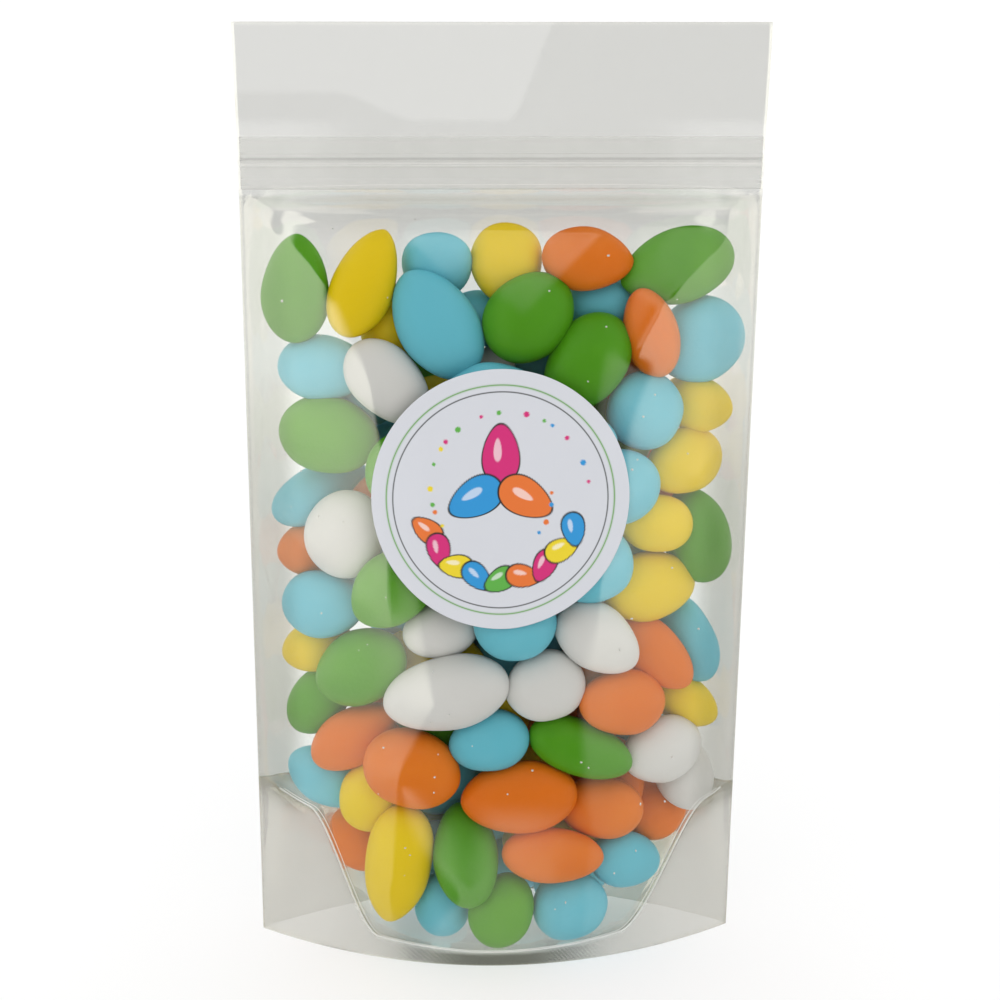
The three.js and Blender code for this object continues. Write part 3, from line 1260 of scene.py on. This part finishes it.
    def surfaces(self) -> np.ndarray:
        """The skin of every almond: pointed or round ends, an oval section and low lumps.

        Returns:
            For each almond its rings' points, then its two end points. A ring's size is one less
            the squared way along, to a power that grows towards the pointed end, times a slope.
            The lumps are sine waves round and along it, of random phases.
        """
        count = len(self.middles)
        way = np.cos(np.linspace(0, math.pi, self.rings + 2))[1:-1][None, :, None]
        turn = round_angles(self.sides)[None, None, :]
        point = np.abs(self.tips)[:, None, None]
        along = way * np.sign(self.tips)[:, None, None]
        power = 0.5 + 0.1 * point * rise(along, -0.2, 1.2)
        size = (1 - way**2) ** power * (1 - (0.05 + 0.06 * point) * along)
        size = size / size.max(axis=1, keepdims=True)
        phases = self.rng.uniform(0, 2 * math.pi, (4, count, 1, 1))
        waves = ((0.016, 2, 2.4), (0.012, 3, -3.1), (0.010, 0, 5.3), (0.006, 5, 4.0))
        lumps = 1 + sum(
            height * np.sin(round_ * turn + long * way + phase)
            for (height, round_, long), phase in zip(waves, phases)
        )
        a, b, c = self.halves.T[:, :, None, None]
        skin = (a * way, b * size * lumps * np.cos(turn), c * size * lumps * np.sin(turn))
        local = np.stack(np.broadcast_arrays(*skin), -1).reshape(count, -1, 3)
        ends = np.zeros((count, 2, 3))
        ends[:, 0, 0], ends[:, 1, 0] = self.halves[:, 0], -self.halves[:, 0]
        local = np.concatenate([local, ends], axis=1)
        return self.middles[:, None] + np.einsum("npk,nkj->npj", local, self.axes)

    def build(self, skins: np.ndarray) -> None:
        """Makes one piece of each colour's almonds from their skins, and dresses it."""
        shade = self.rng.uniform(-0.25, 0.25, len(skins))
        for number, sugar in enumerate(GROUPS):
            mine = self.sugars == number
            points = skins[mine]
            faces = repeat_faces(ring_faces(self.rings, self.sides), points.shape[1], len(points))
            name = "almonds_" + sugar.name.lower()
            shades = np.repeat(shade[mine], points.shape[1])
            make_piece(name, points, faces, SugarShell(sugar), "pouch", sugar.slot, shade=shades)


# ---- The film pouch ----


@dataclass
class Film:
    """The film: two panels draped over the almonds, the folded foot and its seals.

    Lengths are in millimetres. A panel is a grid with one column for each step across and one
    row for each step up. The header is thicker at the closing strip's band, and most at its ridge.
    """

    form: PouchForm
    rng: np.random.Generator
    label_radius: float
    label_height: float
    step: float = 1.0
    thickness: float = 0.12
    layer: float = 0.16
    header_half: float = 0.34
    band_half: float = 0.95
    ridge_half: float = 1.45
    band_bottom: float = 197.8
    band_top: float = 212.5
    ridge_bottom: float = 203.4
    ridge_top: float = 204.5
    ridge_edge: float = 1.6
    curl_from: float = 200.0
    curl_width: float = 38.0
    bulge_rounds: int = 14
    soft_steps: int = 6
    slack: float = 0.2
    clearance: float = 0.3
    held_sides: float = 3.2
    flare: float = 0.007
    crease_depth: float = 0.5
    crease_width: float = 4.0
    margin: float = 49.0
    margin_width: float = 7.0
    mist_from: float = 8.0
    mist_width: float = 30.0
    flap_rows: int = 14
    floor_rows: int = 28
    heights: dict = field(default_factory=dict)

    def __post_init__(self) -> None:
        """Lays out the grid's places."""
        across = int(round(self.form.width / self.step)) + 1
        upward = int(round(self.form.height / self.step)) + 1
        self.x, self.z = np.meshgrid(
            np.linspace(-self.form.width / 2, self.form.width / 2, across),
            np.linspace(0, self.form.height, upward),
        )

    def header(self, z: np.ndarray) -> np.ndarray:
        """Half the distance between the two films where nothing fills them: more at the closing strip."""
        edge = self.ridge_edge
        band = rise(z, self.band_bottom - edge / 2, edge) * fall(z, self.band_top + 2.5, 8.0)
        ridge = rise(z, self.ridge_bottom - 1.0, edge) * fall(z, self.ridge_top + 1.0, edge)
        thicker = (self.band_half - self.header_half) * band + (self.ridge_half - self.band_half) * ridge
        return self.header_half + thicker

    def wave(self, x: np.ndarray, z: np.ndarray) -> np.ndarray:
        """A slow bend that both films share: the header leans and curls a little, the foot doesn't."""
        bend = 1.1 * np.sin(x / 30.0 + 0.6)
        curl = 0.9 * np.cos((z - self.curl_from) / 14.0 + x / 55.0)
        return rise(z, self.curl_from, self.curl_width) * (bend + curl)

    def drape(self, skins: np.ndarray, side: float) -> np.ndarray:
        """How far a panel stands out from the middle plane when it is pulled over the almonds.

        Args:
            skins: The almonds' points.
            side: -1 for the front and 1 for the back.

        Returns:
            The smallest bulging sheet that stays outside every almond, held at its seals and then
            softened: no point lies below the middle of two others that are equally far from it.
        """
        form, x, z = self.form, self.x, self.z
        filled = z <= form.fill_top
        points = skins.reshape(-1, 3)
        column = np.rint((points[:, 0] - form.lean_at(points[:, 2]) + form.width / 2) / self.step).astype(int)
        row = np.rint(points[:, 2] / self.step).astype(int)
        solid = np.zeros(x.shape)
        inside = (column > 0) & (column < x.shape[1] - 1) & (row > 0) & (row < x.shape[0] - 1)
        np.maximum.at(solid, (row[inside], column[inside]), side * points[inside, 1])
        at_side = np.abs(x) > form.width / 2 - self.held_sides
        held = at_side | ~filled | (z < form.seal_height(x) - 1)
        solid = solid + self.clearance
        if side < 0:
            solid = np.maximum(solid, form.front_depth(x, z) - self.slack)
        solid = np.where(held, form.half_depth(x, z) * filled, solid)
        sheet = self.soften(self.bulge(solid, held))
        lift = self.soften(np.maximum(solid - sheet, 0) * (z < form.fill_top))
        return np.maximum(sheet + 1.5 * lift, 0)

    def bulge(self, grid: np.ndarray, held: np.ndarray) -> np.ndarray:
        """Raises each free point to the middle of any two points that lie equally far on both sides of it."""
        for _ in range(self.bulge_rounds):
            for reach in (32, 16, 8, 4, 2, 1):
                for down, over in ((0, reach), (reach, 0), (reach, reach), (reach, -reach)):
                    here = np.roll(grid, (down, over), (0, 1))
                    there = np.roll(grid, (-down, -over), (0, 1))
                    rows = slice(down, grid.shape[0] - down)
                    columns = slice(abs(over), grid.shape[1] - abs(over))
                    middle = 0.5 * (here + there)[rows, columns]
                    raised = np.maximum(grid[rows, columns], middle)
                    grid[rows, columns] = np.where(held[rows, columns], grid[rows, columns], raised)
        return grid

    def soften(self, grid: np.ndarray) -> np.ndarray:
        """Moves each inner point of a grid most of the way to the mean of its neighbours, so many times."""
        for _ in range(self.soft_steps):
            soft = grid.copy()
            around = grid[:-2, 1:-1] + grid[2:, 1:-1] + grid[1:-1, :-2] + grid[1:-1, 2:]
            soft[1:-1, 1:-1] += 0.2 * around - 0.8 * grid[1:-1, 1:-1]
            grid = soft
        return grid

    def crease(self, ends: tuple, depth: float) -> np.ndarray:
        """A sharp ridge along a line, that falls off as e to the minus distance over its width."""
        (x0, z0), (x1, z1) = ends
        long = math.hypot(x1 - x0, z1 - z0)
        along = ((self.x - x0) * (x1 - x0) + (self.z - z0) * (z1 - z0)) / long**2
        aside = np.abs((self.x - x0) * (z1 - z0) - (self.z - z0) * (x1 - x0)) / long
        ends_fade = rise(along, -0.1, 0.3) * fall(along, 1.15, 0.35)
        return depth * ends_fade * np.exp(-aside / self.crease_width)

    def wrinkles(self, side: float) -> np.ndarray:
        """The creases of the shoulders, and small wrinkles beside the side seals and below the header.

        Args:
            side: -1 for the front and 1 for the back.

        Returns:
            How far each point of the grid is raised by them: sine waves of random phases, upright
            and slanted at the sides and level below the header.
        """
        x, z = self.x, self.z
        far = np.abs(x)
        deep_lines = (
            ((-62.9, 196.6), (-41.6, 177.3)),
            ((63.9, 194.8), (39.5, 173.2)),
            ((39.5, 173.2), (31.8, 159.9)),
        )
        faint_lines = (
            ((-58.0, 62.0), (-50.0, 38.0)),
            ((58.0, 64.0), (51.0, 40.0)),
            ((-57.0, 120.0), (-46.0, 108.0)),
            ((57.0, 138.0), (47.0, 128.0)),
        )
        total = sum(self.crease(ends, self.crease_depth) for ends in deep_lines)
        total += sum(self.crease(ends, self.crease_depth / 2) for ends in faint_lines)
        phase = self.rng.uniform(0, 2 * math.pi, 8)
        wander = 2.2 * np.sin(z / 17.0 + phase[0]) + 1.4 * np.sin(z / 7.3 + phase[1])
        upright = np.sin((x + wander) / 1.35 + phase[2]) * (0.5 + 0.5 * np.sin(z / 11.0 + phase[3] + x / 9))
        slanted = np.sin((x * 0.8 + side * z * 0.35) / 2.1 + phase[4]) * np.sin(z / 15.0 + phase[5])
        level = np.sin(2.1 * z + 1.6 * np.sin(x / 13.0 + phase[6]) + x / 40.0)
        near = rise(far, self.margin, self.margin_width) * fall(far, 62.5, 5.0)
        tall = rise(z, 20.0, 30.0) * fall(z, 205.0, 12.0)
        total += near * tall * (0.14 * upright + 0.12 * slanted)
        total += 0.05 * rise(z, 188.0, 5.0) * fall(z, 199.0, 4.0) * level
        return total * rise(z, 3.0, 10.0)

    def shape(self, skins: np.ndarray) -> None:
        """Works out both panels' grids: the drape, the wrinkles and the header's thickness."""
        for side in (-1.0, 1.0):
            sheet = self.drape(skins, side)
            free = fall(np.abs(self.x), self.form.width / 2, 4.0) * (self.z < 205)
            if side < 0:
                from_label = np.hypot(self.x, self.z - self.label_height)
                free = free * rise(from_label, self.label_radius + 1.0, 6.0)
            sheet = np.maximum(sheet + free * self.wrinkles(side), 0)
            self.heights[side] = sheet + self.header(self.z)

    def stand(self, side: float, x: np.ndarray, z: np.ndarray) -> np.ndarray:
        """How far a panel's outer face stands out at places, given from the leaning middle line."""
        return grid_value(self.heights[side], z / self.step, (x + self.form.width / 2) / self.step)

    def points(self, side: float, x: np.ndarray, z: np.ndarray, inwards: float = 0.0) -> np.ndarray:
        """Points on a panel's outer face, or that far inside it."""
        y = side * (self.stand(side, x, z) - inwards) + self.wave(x, z)
        wide = x * (1 + self.flare * rise(z, 195.0, 43.0))
        return np.stack([wide + self.form.lean_at(z), y, z], axis=-1)

    def looks(self, side: float) -> dict[str, np.ndarray]:
        """How grey, milky and hatched a panel is at each point of its grid.

        Args:
            side: -1 for the front and 1 for the back.

        Returns:
            The haze, grey and hatch attributes. The film is greyer at its margins, most low down,
            in the shoulders and at two lines below the closing strip. The header carries a painted
            reflection: it is clearer above a line with two steps. Below the foot's seal it is misty, and
            in the middle it is hatched and darker, as painted shade under the almonds.
        """
        form, x, z = self.form, self.x, self.z
        far = np.abs(x)
        filled = z < form.fill_top
        seal = rise(far, form.width / 2 - form.side_seal, 1.5) * filled
        below = fall(z, form.seal_height(x), 1.5 + 7.0 * rise(far, 46.0, 10.0))
        outwards = rise(far, 30.0, 22.0)
        margin = (0.4 + 0.3 * fall(z, 165.0, 45.0)) * rise(far, self.margin, self.margin_width)
        shoulder = (0.45 - 0.22 * outwards) * rise(z, 186.0, 8.0)
        # Painted reflection: lit marks where the front header is less grey, above a stepped line, standing in
        # for a mirrored light patch.
        painted_reflection_edge = 214.3 + 6.5 * fall(x, -20.0, 20.0) + 26.0 * rise(x, 1.0, 14.0)
        lit = rise(z, painted_reflection_edge, 2.0) * (z > self.band_top) * (side < 0)
        header = 0.2 * (1 - lit) - 0.13 * outwards * fall(z, 217.0, 4.0)
        grey = np.where(z > form.fill_top + 1, header, np.maximum(margin, shoulder))
        if side > 0:
            grey = np.maximum(grey, 0.4 * rise(z, 142.0, 16.0) * filled)
        else:
            for line, dark in ((198.8, 0.15), (197.5, 0.3)):
                grey = grey + dark * fall(np.abs(z - line), 0.9, 0.8)
        # Painted shade: below the foot's seal the film turns far greyer, most in the middle, for the shadow
        # under the almonds.
        deep = 0.3 + 0.4 * fall(far, 52.0, 30.0) + 2.4 * fall(far, 30.0, 26.0)
        misty = 0.04 + 0.18 * rise(far, self.mist_from, self.mist_width)
        return {
            "haze": np.maximum(0.03 * seal, misty * below),
            "grey": grey * (1 - below) + deep * below,
            # Hatch in the foot's middle: pressed lines that also act as painted shade.
            "hatch": below * fall(z, 18.0, 8.0) * fall(far, 34.0, 20.0),
        }

    def panel(self, side: float, name: str) -> None:
        """Makes the front or the back panel as a thin closed shell."""
        turned = slice(None, None, -1 if side > 0 else 1)
        looks = {look: values[:, turned] for look, values in self.looks(side).items()}
        self.make_film(name, "film_" + name, self.points(side, self.x, self.z)[:, turned], **looks)

    def make_film(self, name: str, material: str, outer: np.ndarray, **looks: np.ndarray) -> None:
        """Makes a piece of clear film from the grid of its outer face. Light and shadow rays pass it
        unseen, which changes little and saves time.

        Args:
            name: The piece's name.
            material: Its material's name.
            outer: The outer face, with its normals pointing out.
            looks: The attributes' values on that grid.
        """
        points, faces = shell(outer, self.thickness)
        both = {look: np.tile(values.ravel(), 2) for look, values in looks.items()}
        piece = make_piece(name, points, faces, ClearFilm(material), "pouch", "clear_film", **both)
        piece.visible_shadow = False
        piece.visible_diffuse = False

    def foot(self) -> None:
        """Makes the folded foot: sealed to the front up to the U, across the floor, and down the back."""
        form, count = self.form, self.flap_rows
        x = self.x[0]
        low = 0.15
        share = np.linspace(0, 1, count)[:, None]
        z = low + (form.seal_height(x)[None] - low) * share
        wide = np.broadcast_to(x, z.shape)
        inwards = self.layer + self.thickness
        front, back = (self.points(side, wide, z, inwards) for side in (-1.0, 1.0))
        back = back[::-1]
        over = np.linspace(-1, 1, self.floor_rows + 2)[1:-1, None]
        floor = form.foot_height(x[None], np.abs(over))
        start, end = front[-1][None, :, 1], back[0][None, :, 1]
        y = start + (end - start) * (over + 1) / 2
        across = np.broadcast_to(x, floor.shape) + form.lean_at(floor)
        middle = np.stack([across, y, np.maximum(floor, form.floor_gap)], axis=-1)
        grid = np.concatenate([front, middle, back])
        haze = np.zeros(grid.shape[:2])
        mist = 0.02 + 0.15 * rise(np.abs(x), self.mist_from, self.mist_width)
        mist = mist[None] * fall(share, 1.0, 0.3)
        haze[:count], haze[-count:], haze[count:-count] = mist, mist[::-1], mist[:1]
        grey = np.full(haze.shape, 0.4)
        self.make_film("foot_fold", "film_foot", grid[::-1], haze=haze[::-1], grey=grey)

    def seals(self) -> None:
        """Makes the narrow milky beads along the foot's U: two at the front, one inside the other,
        and one at the back."""
        x = np.linspace(-57.5, 60.0, 200)
        z = self.form.seal_height(x)
        thin, sides = 0.09, 8
        parts, faces = [], []
        for side, inwards, wide in ((-1.0, 0.0, 0.24), (-1.0, 1.1, 0.1), (1.0, 0.0, 0.2)):
            path = self.points(side, x * (1 - inwards / 46), z + 0.4 * inwards, self.thickness + 0.06)
            points, part = tube(path, np.tile([0.0, side, 0.0], (len(path), 1)), (thin, wide), sides)
            faces += [corners + sum(map(len, parts)) for corners in part]
            parts.append(points)
        milky = MilkyPlastic("seal_milk", clear=0.45, milk=0.95)
        make_piece("foot_seal", np.concatenate(parts), faces, milky, "pouch", "clear_film")

    def crumbs(self) -> None:
        """Makes the specks of sugar that cling to the inside of the film, a third of them at the back."""
        count, rings, sides = 90, 3, 6
        side = np.where(np.arange(count) % 3 == 2, 1.0, -1.0)
        z = self.rng.uniform(14, 194, count)
        x = self.rng.uniform(-54, 54, count)
        keep = z > self.form.seal_height(x) + 3
        x, z, side = x[keep], z[keep], side[keep]
        size = self.rng.uniform(0.16, 0.42, len(x))
        inwards = 0.3
        places = [self.points(which, x, z, inwards) for which in (-1.0, 1.0)]
        place = np.where((side < 0)[:, None], *places)
        way = np.cos(np.linspace(0, math.pi, rings + 2))[1:-1, None]
        turn = round_angles(sides)
        wide = np.sqrt(1 - way**2)
        ball = np.stack(np.broadcast_arrays(way, wide * np.cos(turn), wide * np.sin(turn)), -1)
        ball = np.concatenate([ball.reshape(-1, 3), [[1.0, 0, 0], [-1.0, 0, 0]]])
        rough = self.rng.uniform(0.7, 1.25, (len(x), len(ball), 1))
        squash = self.rng.uniform(0.6, 1.0, (len(x), 1, 3))
        points = place[:, None] + ball[None] * rough * squash * size[:, None, None]
        faces = repeat_faces(ring_faces(rings, sides), len(ball), len(x))
        shade = np.full(len(x) * len(ball), 0.3)
        finish = SugarShell(Sugar.WHITE, roughness=0.6)
        make_piece("sugar_crumbs", points, faces, finish, "pouch", "sugar_white", shade=shade)


@dataclass
class ZipStrip:
    """The press-to-close strip between the films: a flat web with a locked ridge and fine ribs.

    Args:
        film: The film it lies in.
        low: Height of its lower edge.
        high: Height of its upper edge.
        web: Half the web's thickness.
        ribs: For each rib, its height, half its width and how far it stands out of the web.
        line: Height of the dark line in the lock.
        end_gap: How far it ends inside the pouch's sides.
    """

    film: Film
    low: float = 199.0
    high: float = 211.6
    web: float = 0.3
    ribs: tuple = (
        (205.0, 0.55, 0.5),
        (206.9, 0.5, 0.42),
        (199.6, 0.35, 0.2),
        (201.2, 0.3, 0.12),
        (210.9, 0.3, 0.15),
    )
    line: float = 206.3
    end_gap: float = 0.4

    def section(self) -> tuple[np.ndarray, np.ndarray]:
        """The section's outline, up the front and down the back, as places out and up."""
        z = np.linspace(self.low, self.high, 90)
        out = np.full_like(z, self.web)
        for middle, wide, proud in self.ribs:
            out = np.maximum(out, self.web + proud * fall(np.abs(z - middle), wide + 0.25, 0.35))
        out = out * np.minimum(rise(z, self.low - 0.1, 0.4), fall(z, self.high + 0.1, 0.4))
        return np.concatenate([-out, out[::-1]]), np.concatenate([z, z[::-1]])

    def build(self) -> None:
        """Makes the strip as one closed bar across the pouch."""
        y, up = self.section()
        form = self.film.form
        reach = form.width / 2 - self.end_gap
        x = np.linspace(-reach, reach, 64)[:, None]
        rings = (x + form.lean_at(up)[None], y[None] + self.film.wave(x, up[None]), up[None])
        rings = np.stack(np.broadcast_arrays(*rings), axis=-1)
        points = np.concatenate([rings.reshape(-1, 3), rings[[0, -1]].mean(axis=1)])
        faces = ring_faces(len(x), len(up))
        line = np.append(np.tile(fall(np.abs(up - self.line), 0.42, 0.15), len(x)), [0, 0])
        plastic = MilkyPlastic("zip_plastic")
        make_piece("zip_bar", points, faces, plastic, "zip_strip", "zip_plastic", line=line)


# ---- The label ----


@dataclass
class Label:
    """The round sticker with its own plain print: two rings, a garland and a trefoil of almonds.

    Args:
        film: The film it is stuck on.
        radius: Its radius.
        height: Its middle's height on the solids.
        wrap: Its width seen from the front, over its diameter, because it wraps round the film.
        squash: The same for its height.
        lower: How much lower than the solid's it sits, as photographed.
        thickness: The paper's thickness.
        gap: How far its back lies off the film.
        rings: How many rings of points its face has.
        spokes: How many points each of them has.
        ground: The paper's colour.
        ring_green: The colour of the outer ring.
        ring_dark: The colour of the inner ring and of all outlines.
        inks: The colours of the almonds and the dots.
    """

    film: Film
    radius: float
    height: float
    wrap: float
    squash: float = 0.982
    lower: float = 0.5
    thickness: float = 0.15
    gap: float = 0.04
    rings: int = 118
    spokes: int = 440
    ground: Colour = srgb(213, 215, 221)
    ring_green: Colour = srgb(96, 160, 62)
    ring_dark: Colour = srgb(38, 44, 40)
    inks: tuple[Colour, ...] = (
        srgb(232, 118, 48),
        srgb(214, 40, 120),
        srgb(236, 212, 40),
        srgb(44, 150, 214),
        srgb(96, 178, 72),
    )

    def ink(self, colour: np.ndarray, inside: np.ndarray, ink: Colour, cover: float = 1.0) -> np.ndarray:
        """Prints an ink over a colour.

        Args:
            colour: The colour at each point.
            inside: How far each point lies inside the printed shape.
            ink: The ink's colour.
            cover: How well it covers.

        Returns:
            The new colour: the ink's well inside the shape and the old one outside, over 0.2 mm.
        """
        share = cover * smooth(inside / 0.2 + 0.5)[..., None]
        return colour * (1 - share) + np.array(ink) * share

    def nut(self, x: np.ndarray, z: np.ndarray, halves: tuple, turn: float) -> np.ndarray:
        """How far points lie inside an almond shape, in millimetres.

        Args:
            x: Places across, from the shape's middle.
            z: Places up.
            halves: Half its length and width.
            turn: Its long axis, in degrees.

        Returns:
            One less the distance from the middle in half sizes, times the half width. The
            width grows smaller towards one end.
        """
        angle = math.radians(turn)
        along = x * math.cos(angle) + z * math.sin(angle)
        over = z * math.cos(angle) - x * math.sin(angle)
        width = halves[1] * (1 - 0.22 * np.clip(along / halves[0], -1, 1))
        return (1 - np.sqrt((along / halves[0]) ** 2 + (over / width) ** 2)) * halves[1]

    def nuts(self) -> list[tuple]:
        """The printed almonds: for each its middle, half sizes, long axis in degrees and ink."""
        shapes = []
        for number in range(9):
            bearing = math.radians(-90 + (number - 4) * 17)
            place = (19.5 * math.cos(bearing), 19.5 * math.sin(bearing))
            turn = math.degrees(bearing) + (62 if number % 2 else -58)
            shapes.append((place, (4.1, 2.7), turn, number % 5))
        for number, ink in enumerate((1, 3, 0)):
            bearing = math.radians(90 + 120 * number)
            place = (7.2 * math.cos(bearing), 4.5 + 7.2 * math.sin(bearing))
            shapes.append((place, (7.0, 4.4), math.degrees(bearing), ink))
        return shapes

    def paint(self, x: np.ndarray, z: np.ndarray) -> np.ndarray:
        """The print's colour at places on the flat sticker, measured from its middle."""
        colour = np.broadcast_to(np.array(self.ground), (*x.shape, 3)).copy()
        away = np.hypot(x, z)
        for radius, half, ink in ((28.2, 0.22, self.ring_green), (26.6, 0.16, self.ring_dark)):
            colour = self.ink(colour, half - np.abs(away - radius), ink)
        outline, shine, white = 0.3, 0.5, (1.0, 1.0, 1.0)
        for (left, up), halves, turn, number in self.nuts():
            inside = self.nut(x - left, z - up, halves, turn)
            small = (halves[0] * 0.4, halves[1] * 0.22)
            shining = self.nut(x - (left - 0.8), z - (up + 0.9), small, turn)
            colour = self.ink(colour, inside + outline, self.ring_dark)
            colour = self.ink(colour, inside, self.inks[number])
            colour = self.ink(colour, shining, white, shine)
        for number in range(26):
            bearing = number * 2.399
            reach = 12.5 + 9.5 * ((number * 0.618) % 1)
            left, up = reach * math.cos(bearing), 2.0 + reach * math.sin(bearing)
            if up >= -8:
                size = 0.45 + 0.25 * (number % 3) / 2
                colour = self.ink(colour, size - np.hypot(x - left, z - up), self.inks[number % 5])
        return colour

    def build(self) -> None:
        """Makes the sticker: a finely divided face, a rim and a coarse back."""
        face = np.linspace(0, self.radius, self.rings + 1)[1:]
        back = np.linspace(self.radius, 0, 12)[:-1]
        reach = np.concatenate([face, back])[:, None]
        turn = round_angles(self.spokes)
        x = np.append((reach * np.cos(turn)).ravel(), [0, 0])
        z = np.append((reach * np.sin(turn)).ravel(), [0, 0])
        proud = np.repeat([self.thickness, 0.0], [face.size * self.spokes, back.size * self.spokes])
        proud = np.append(proud, [self.thickness, 0.0])
        points = self.film.points(-1.0, x * self.wrap, self.height - self.lower + z * self.squash)
        points[:, 1] -= proud + self.gap
        faces = [corners[:, ::-1] for corners in ring_faces(len(reach), self.spokes)]
        looks = {"print": self.paint(x, z)}
        make_piece("round_label", points, faces, LabelPaper(), "label", "label_paper", **looks)


# ---- The studio ----


@dataclass(frozen=True)
class Studio:
    """A white floor in a white room.

    The film mirrors two tall panels beside the camera, a long one above it, its lit corners, a
    patch above on the right and a dim floor, with near darkness between them. Everything else is
    lit softly, most from above. A place on a panel is the sine of an angle: from straight ahead
    for those at the sides and from level for the others. A span is where a panel starts and ends.
    A fade is the two places between which a value changes, then the value before and after them.
    """

    back_glow: float = 1.06
    dark: float = 0.009
    edge: float = 0.03
    side_glow: float = 2.0
    side_span: Span = (0.57, 1.2)
    side_slant: Fade = (-0.3, 0.0, 0.18, 0.0)
    side_foot: Fade = (-0.5, -0.1, 0.3, 1.0)
    side_right: Fade = (-0.05, 0.05, 1.0, 0.72)
    above_glow: float = 0.8
    above_span: Span = (0.33, 0.37)
    patch_across: Fade = (0.34, 0.46, 0.0, 0.6)
    patch_up: Fade = (0.0, 0.1, 0.0, 1.0)
    corner_aside: Fade = (0.1, 0.4, 0.0, 0.9)
    corner_up: Fade = (0.34, 0.42, 0.0, 1.0)
    below_up: Fade = (-0.56, -0.5, 0.75, 0.0)
    below_left: Fade = (-0.35, -0.29, 0.1, 1.0)
    below_right: Fade = (0.1, 0.4, 1.0, 0.3)
    soft_up: Fade = (-0.2, 0.9, 0.5, 1.25)
    soft_ahead: Fade = (0.4, 1.0, 0.0, 0.11)
    floor_reach: float = 4000.0

    def band(self, graph: Graph, place: Socket, span: Span, glow: float) -> Socket:
        """A panel's glow: full between two places, none outside, with soft edges."""
        start, end = (
            graph.step(place, at - self.edge, at + self.edge, *values)
            for at, values in zip(span, ((0.0, glow), (1.0, 0.0)))
        )
        return graph.maths("MULTIPLY", start, end)

    def room(self) -> None:
        """Sets the world: white to look at, panels for mirrored rays, and soft light for the rest."""
        world = bpy.data.worlds.new("white_room")
        bpy.context.scene.world = world
        graph = Graph(world)
        coordinates = graph.node("TexCoord").outputs["Generated"]
        across, along, up = graph.node("SeparateXYZ", {0: coordinates}).outputs
        aside, ahead = graph.maths("ABSOLUTE", across), graph.maths("ABSOLUTE", along)
        slanted = graph.maths("ADD", aside, graph.step(up, *self.side_slant))
        sides = graph.fold(
            "MULTIPLY",
            self.band(graph, slanted, self.side_span, self.side_glow),
            graph.step(up, *self.side_foot),
            graph.step(across, *self.side_right),
        )
        above = self.band(graph, up, self.above_span, self.above_glow)
        patch, corners, below = (
            graph.fold("MULTIPLY", *(graph.step(value, *fade) for value, fade in steps))
            for steps in (
                ((across, self.patch_across), (up, self.patch_up)),
                ((aside, self.corner_aside), (up, self.corner_up)),
                ((up, self.below_up), (across, self.below_left), (across, self.below_right)),
            )
        )
        brightest = graph.fold("MAXIMUM", sides, above, patch, corners, below)
        mirrored = graph.maths("ADD", brightest, self.dark)
        soft = graph.maths("ADD", graph.step(up, *self.soft_up), graph.step(ahead, *self.soft_ahead))
        rays = graph.node("LightPath").outputs
        lit = graph.result("Mix", {0: rays["Is Glossy Ray"], 2: soft, 3: mirrored})
        shown = graph.result("Mix", {0: rays["Is Camera Ray"], 2: lit, 3: self.back_glow})
        graph.finish(graph.result("Background", {"Color": (1.0, 1.0, 1.0), "Strength": shown}))

    def floor(self) -> None:
        """Lays the pale floor, which reflections don't show."""
        corners = self.floor_reach * np.array([(-1, -1, 0), (1, -1, 0), (1, 1, 0), (-1, 1, 0)])
        floor = add_mesh("floor", corners, [np.array([[0, 1, 2, 3]])])
        floor.data.materials.append(PaleFloor().material())
        floor.visible_glossy = False

    def build(self) -> None:
        """Sets up the room, the floor and how the picture is shown."""
        scene = bpy.context.scene
        scene.view_settings.view_transform = "Standard"
        scene.cycles.transparent_max_bounces = 32
        scene.cycles.max_bounces = 6
        scene.cycles.diffuse_bounces = 3
        scene.cycles.glossy_bounces = 3
        self.room()
        self.floor()


def fill(form: PouchForm, camera: PhotoCamera, rng: np.random.Generator) -> np.ndarray:
    """Builds the heap of almonds.

    Args:
        form: The pouch's form.
        camera: The photograph's camera.
        rng: Where random numbers come from.

    Returns:
        The almonds' skins, for the film to be draped over.
    """
    almonds = Almonds(form, camera, rng)
    almonds.place_seen()
    almonds.place_hidden(Level(side=1.0, pitch=19.5, rise=15.5, clear=11.5, least_depth=9.0))
    almonds.place_hidden(Level(side=0.0, pitch=21.0, rise=17.0, clear=12.5, least_depth=17.0))
    almonds.place_hidden(Level(side=-1.0, pitch=19.0, rise=16.0, clear=14.0, least_depth=10.0))
    almonds.pack(((160, 3.0), (120, 2.2), (120, 1.8)), last_rounds=60)
    almonds.plug(22)
    almonds.settle(40)
    almonds.plug(6)
    skins = almonds.surfaces()
    almonds.build(skins)
    return skins


def main() -> None:
    """Builds the camera, the studio, the almonds, the film, the strip and the label, in that order."""
    logging.basicConfig(level=logging.INFO, format="%(message)s")
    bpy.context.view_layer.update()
    low, high = (np.array(corner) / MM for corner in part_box("pouch"))
    label_low, label_high = (np.array(corner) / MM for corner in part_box("label"))
    label_radius = (label_high[2] - label_low[2]) / 2
    label_middle = (label_high[2] + label_low[2]) / 2
    label_wrap = (label_high[0] - label_low[0]) / 2 / label_radius
    form = PouchForm(width=high[0] - low[0] - PouchForm.lean, height=high[2] - low[2])
    camera = PhotoCamera()
    camera.add()
    Studio().build()
    rng = np.random.default_rng(SEED)
    skins = fill(form, camera, rng)
    film = Film(form, rng, label_radius, label_middle)
    film.shape(skins)
    film.panel(-1.0, "front_film")
    film.panel(1.0, "back_film")
    film.foot()
    film.seals()
    film.crumbs()
    ZipStrip(film).build()
    Label(film, label_radius, label_middle, label_wrap).build()


if __name__ == "__main__":
    main()
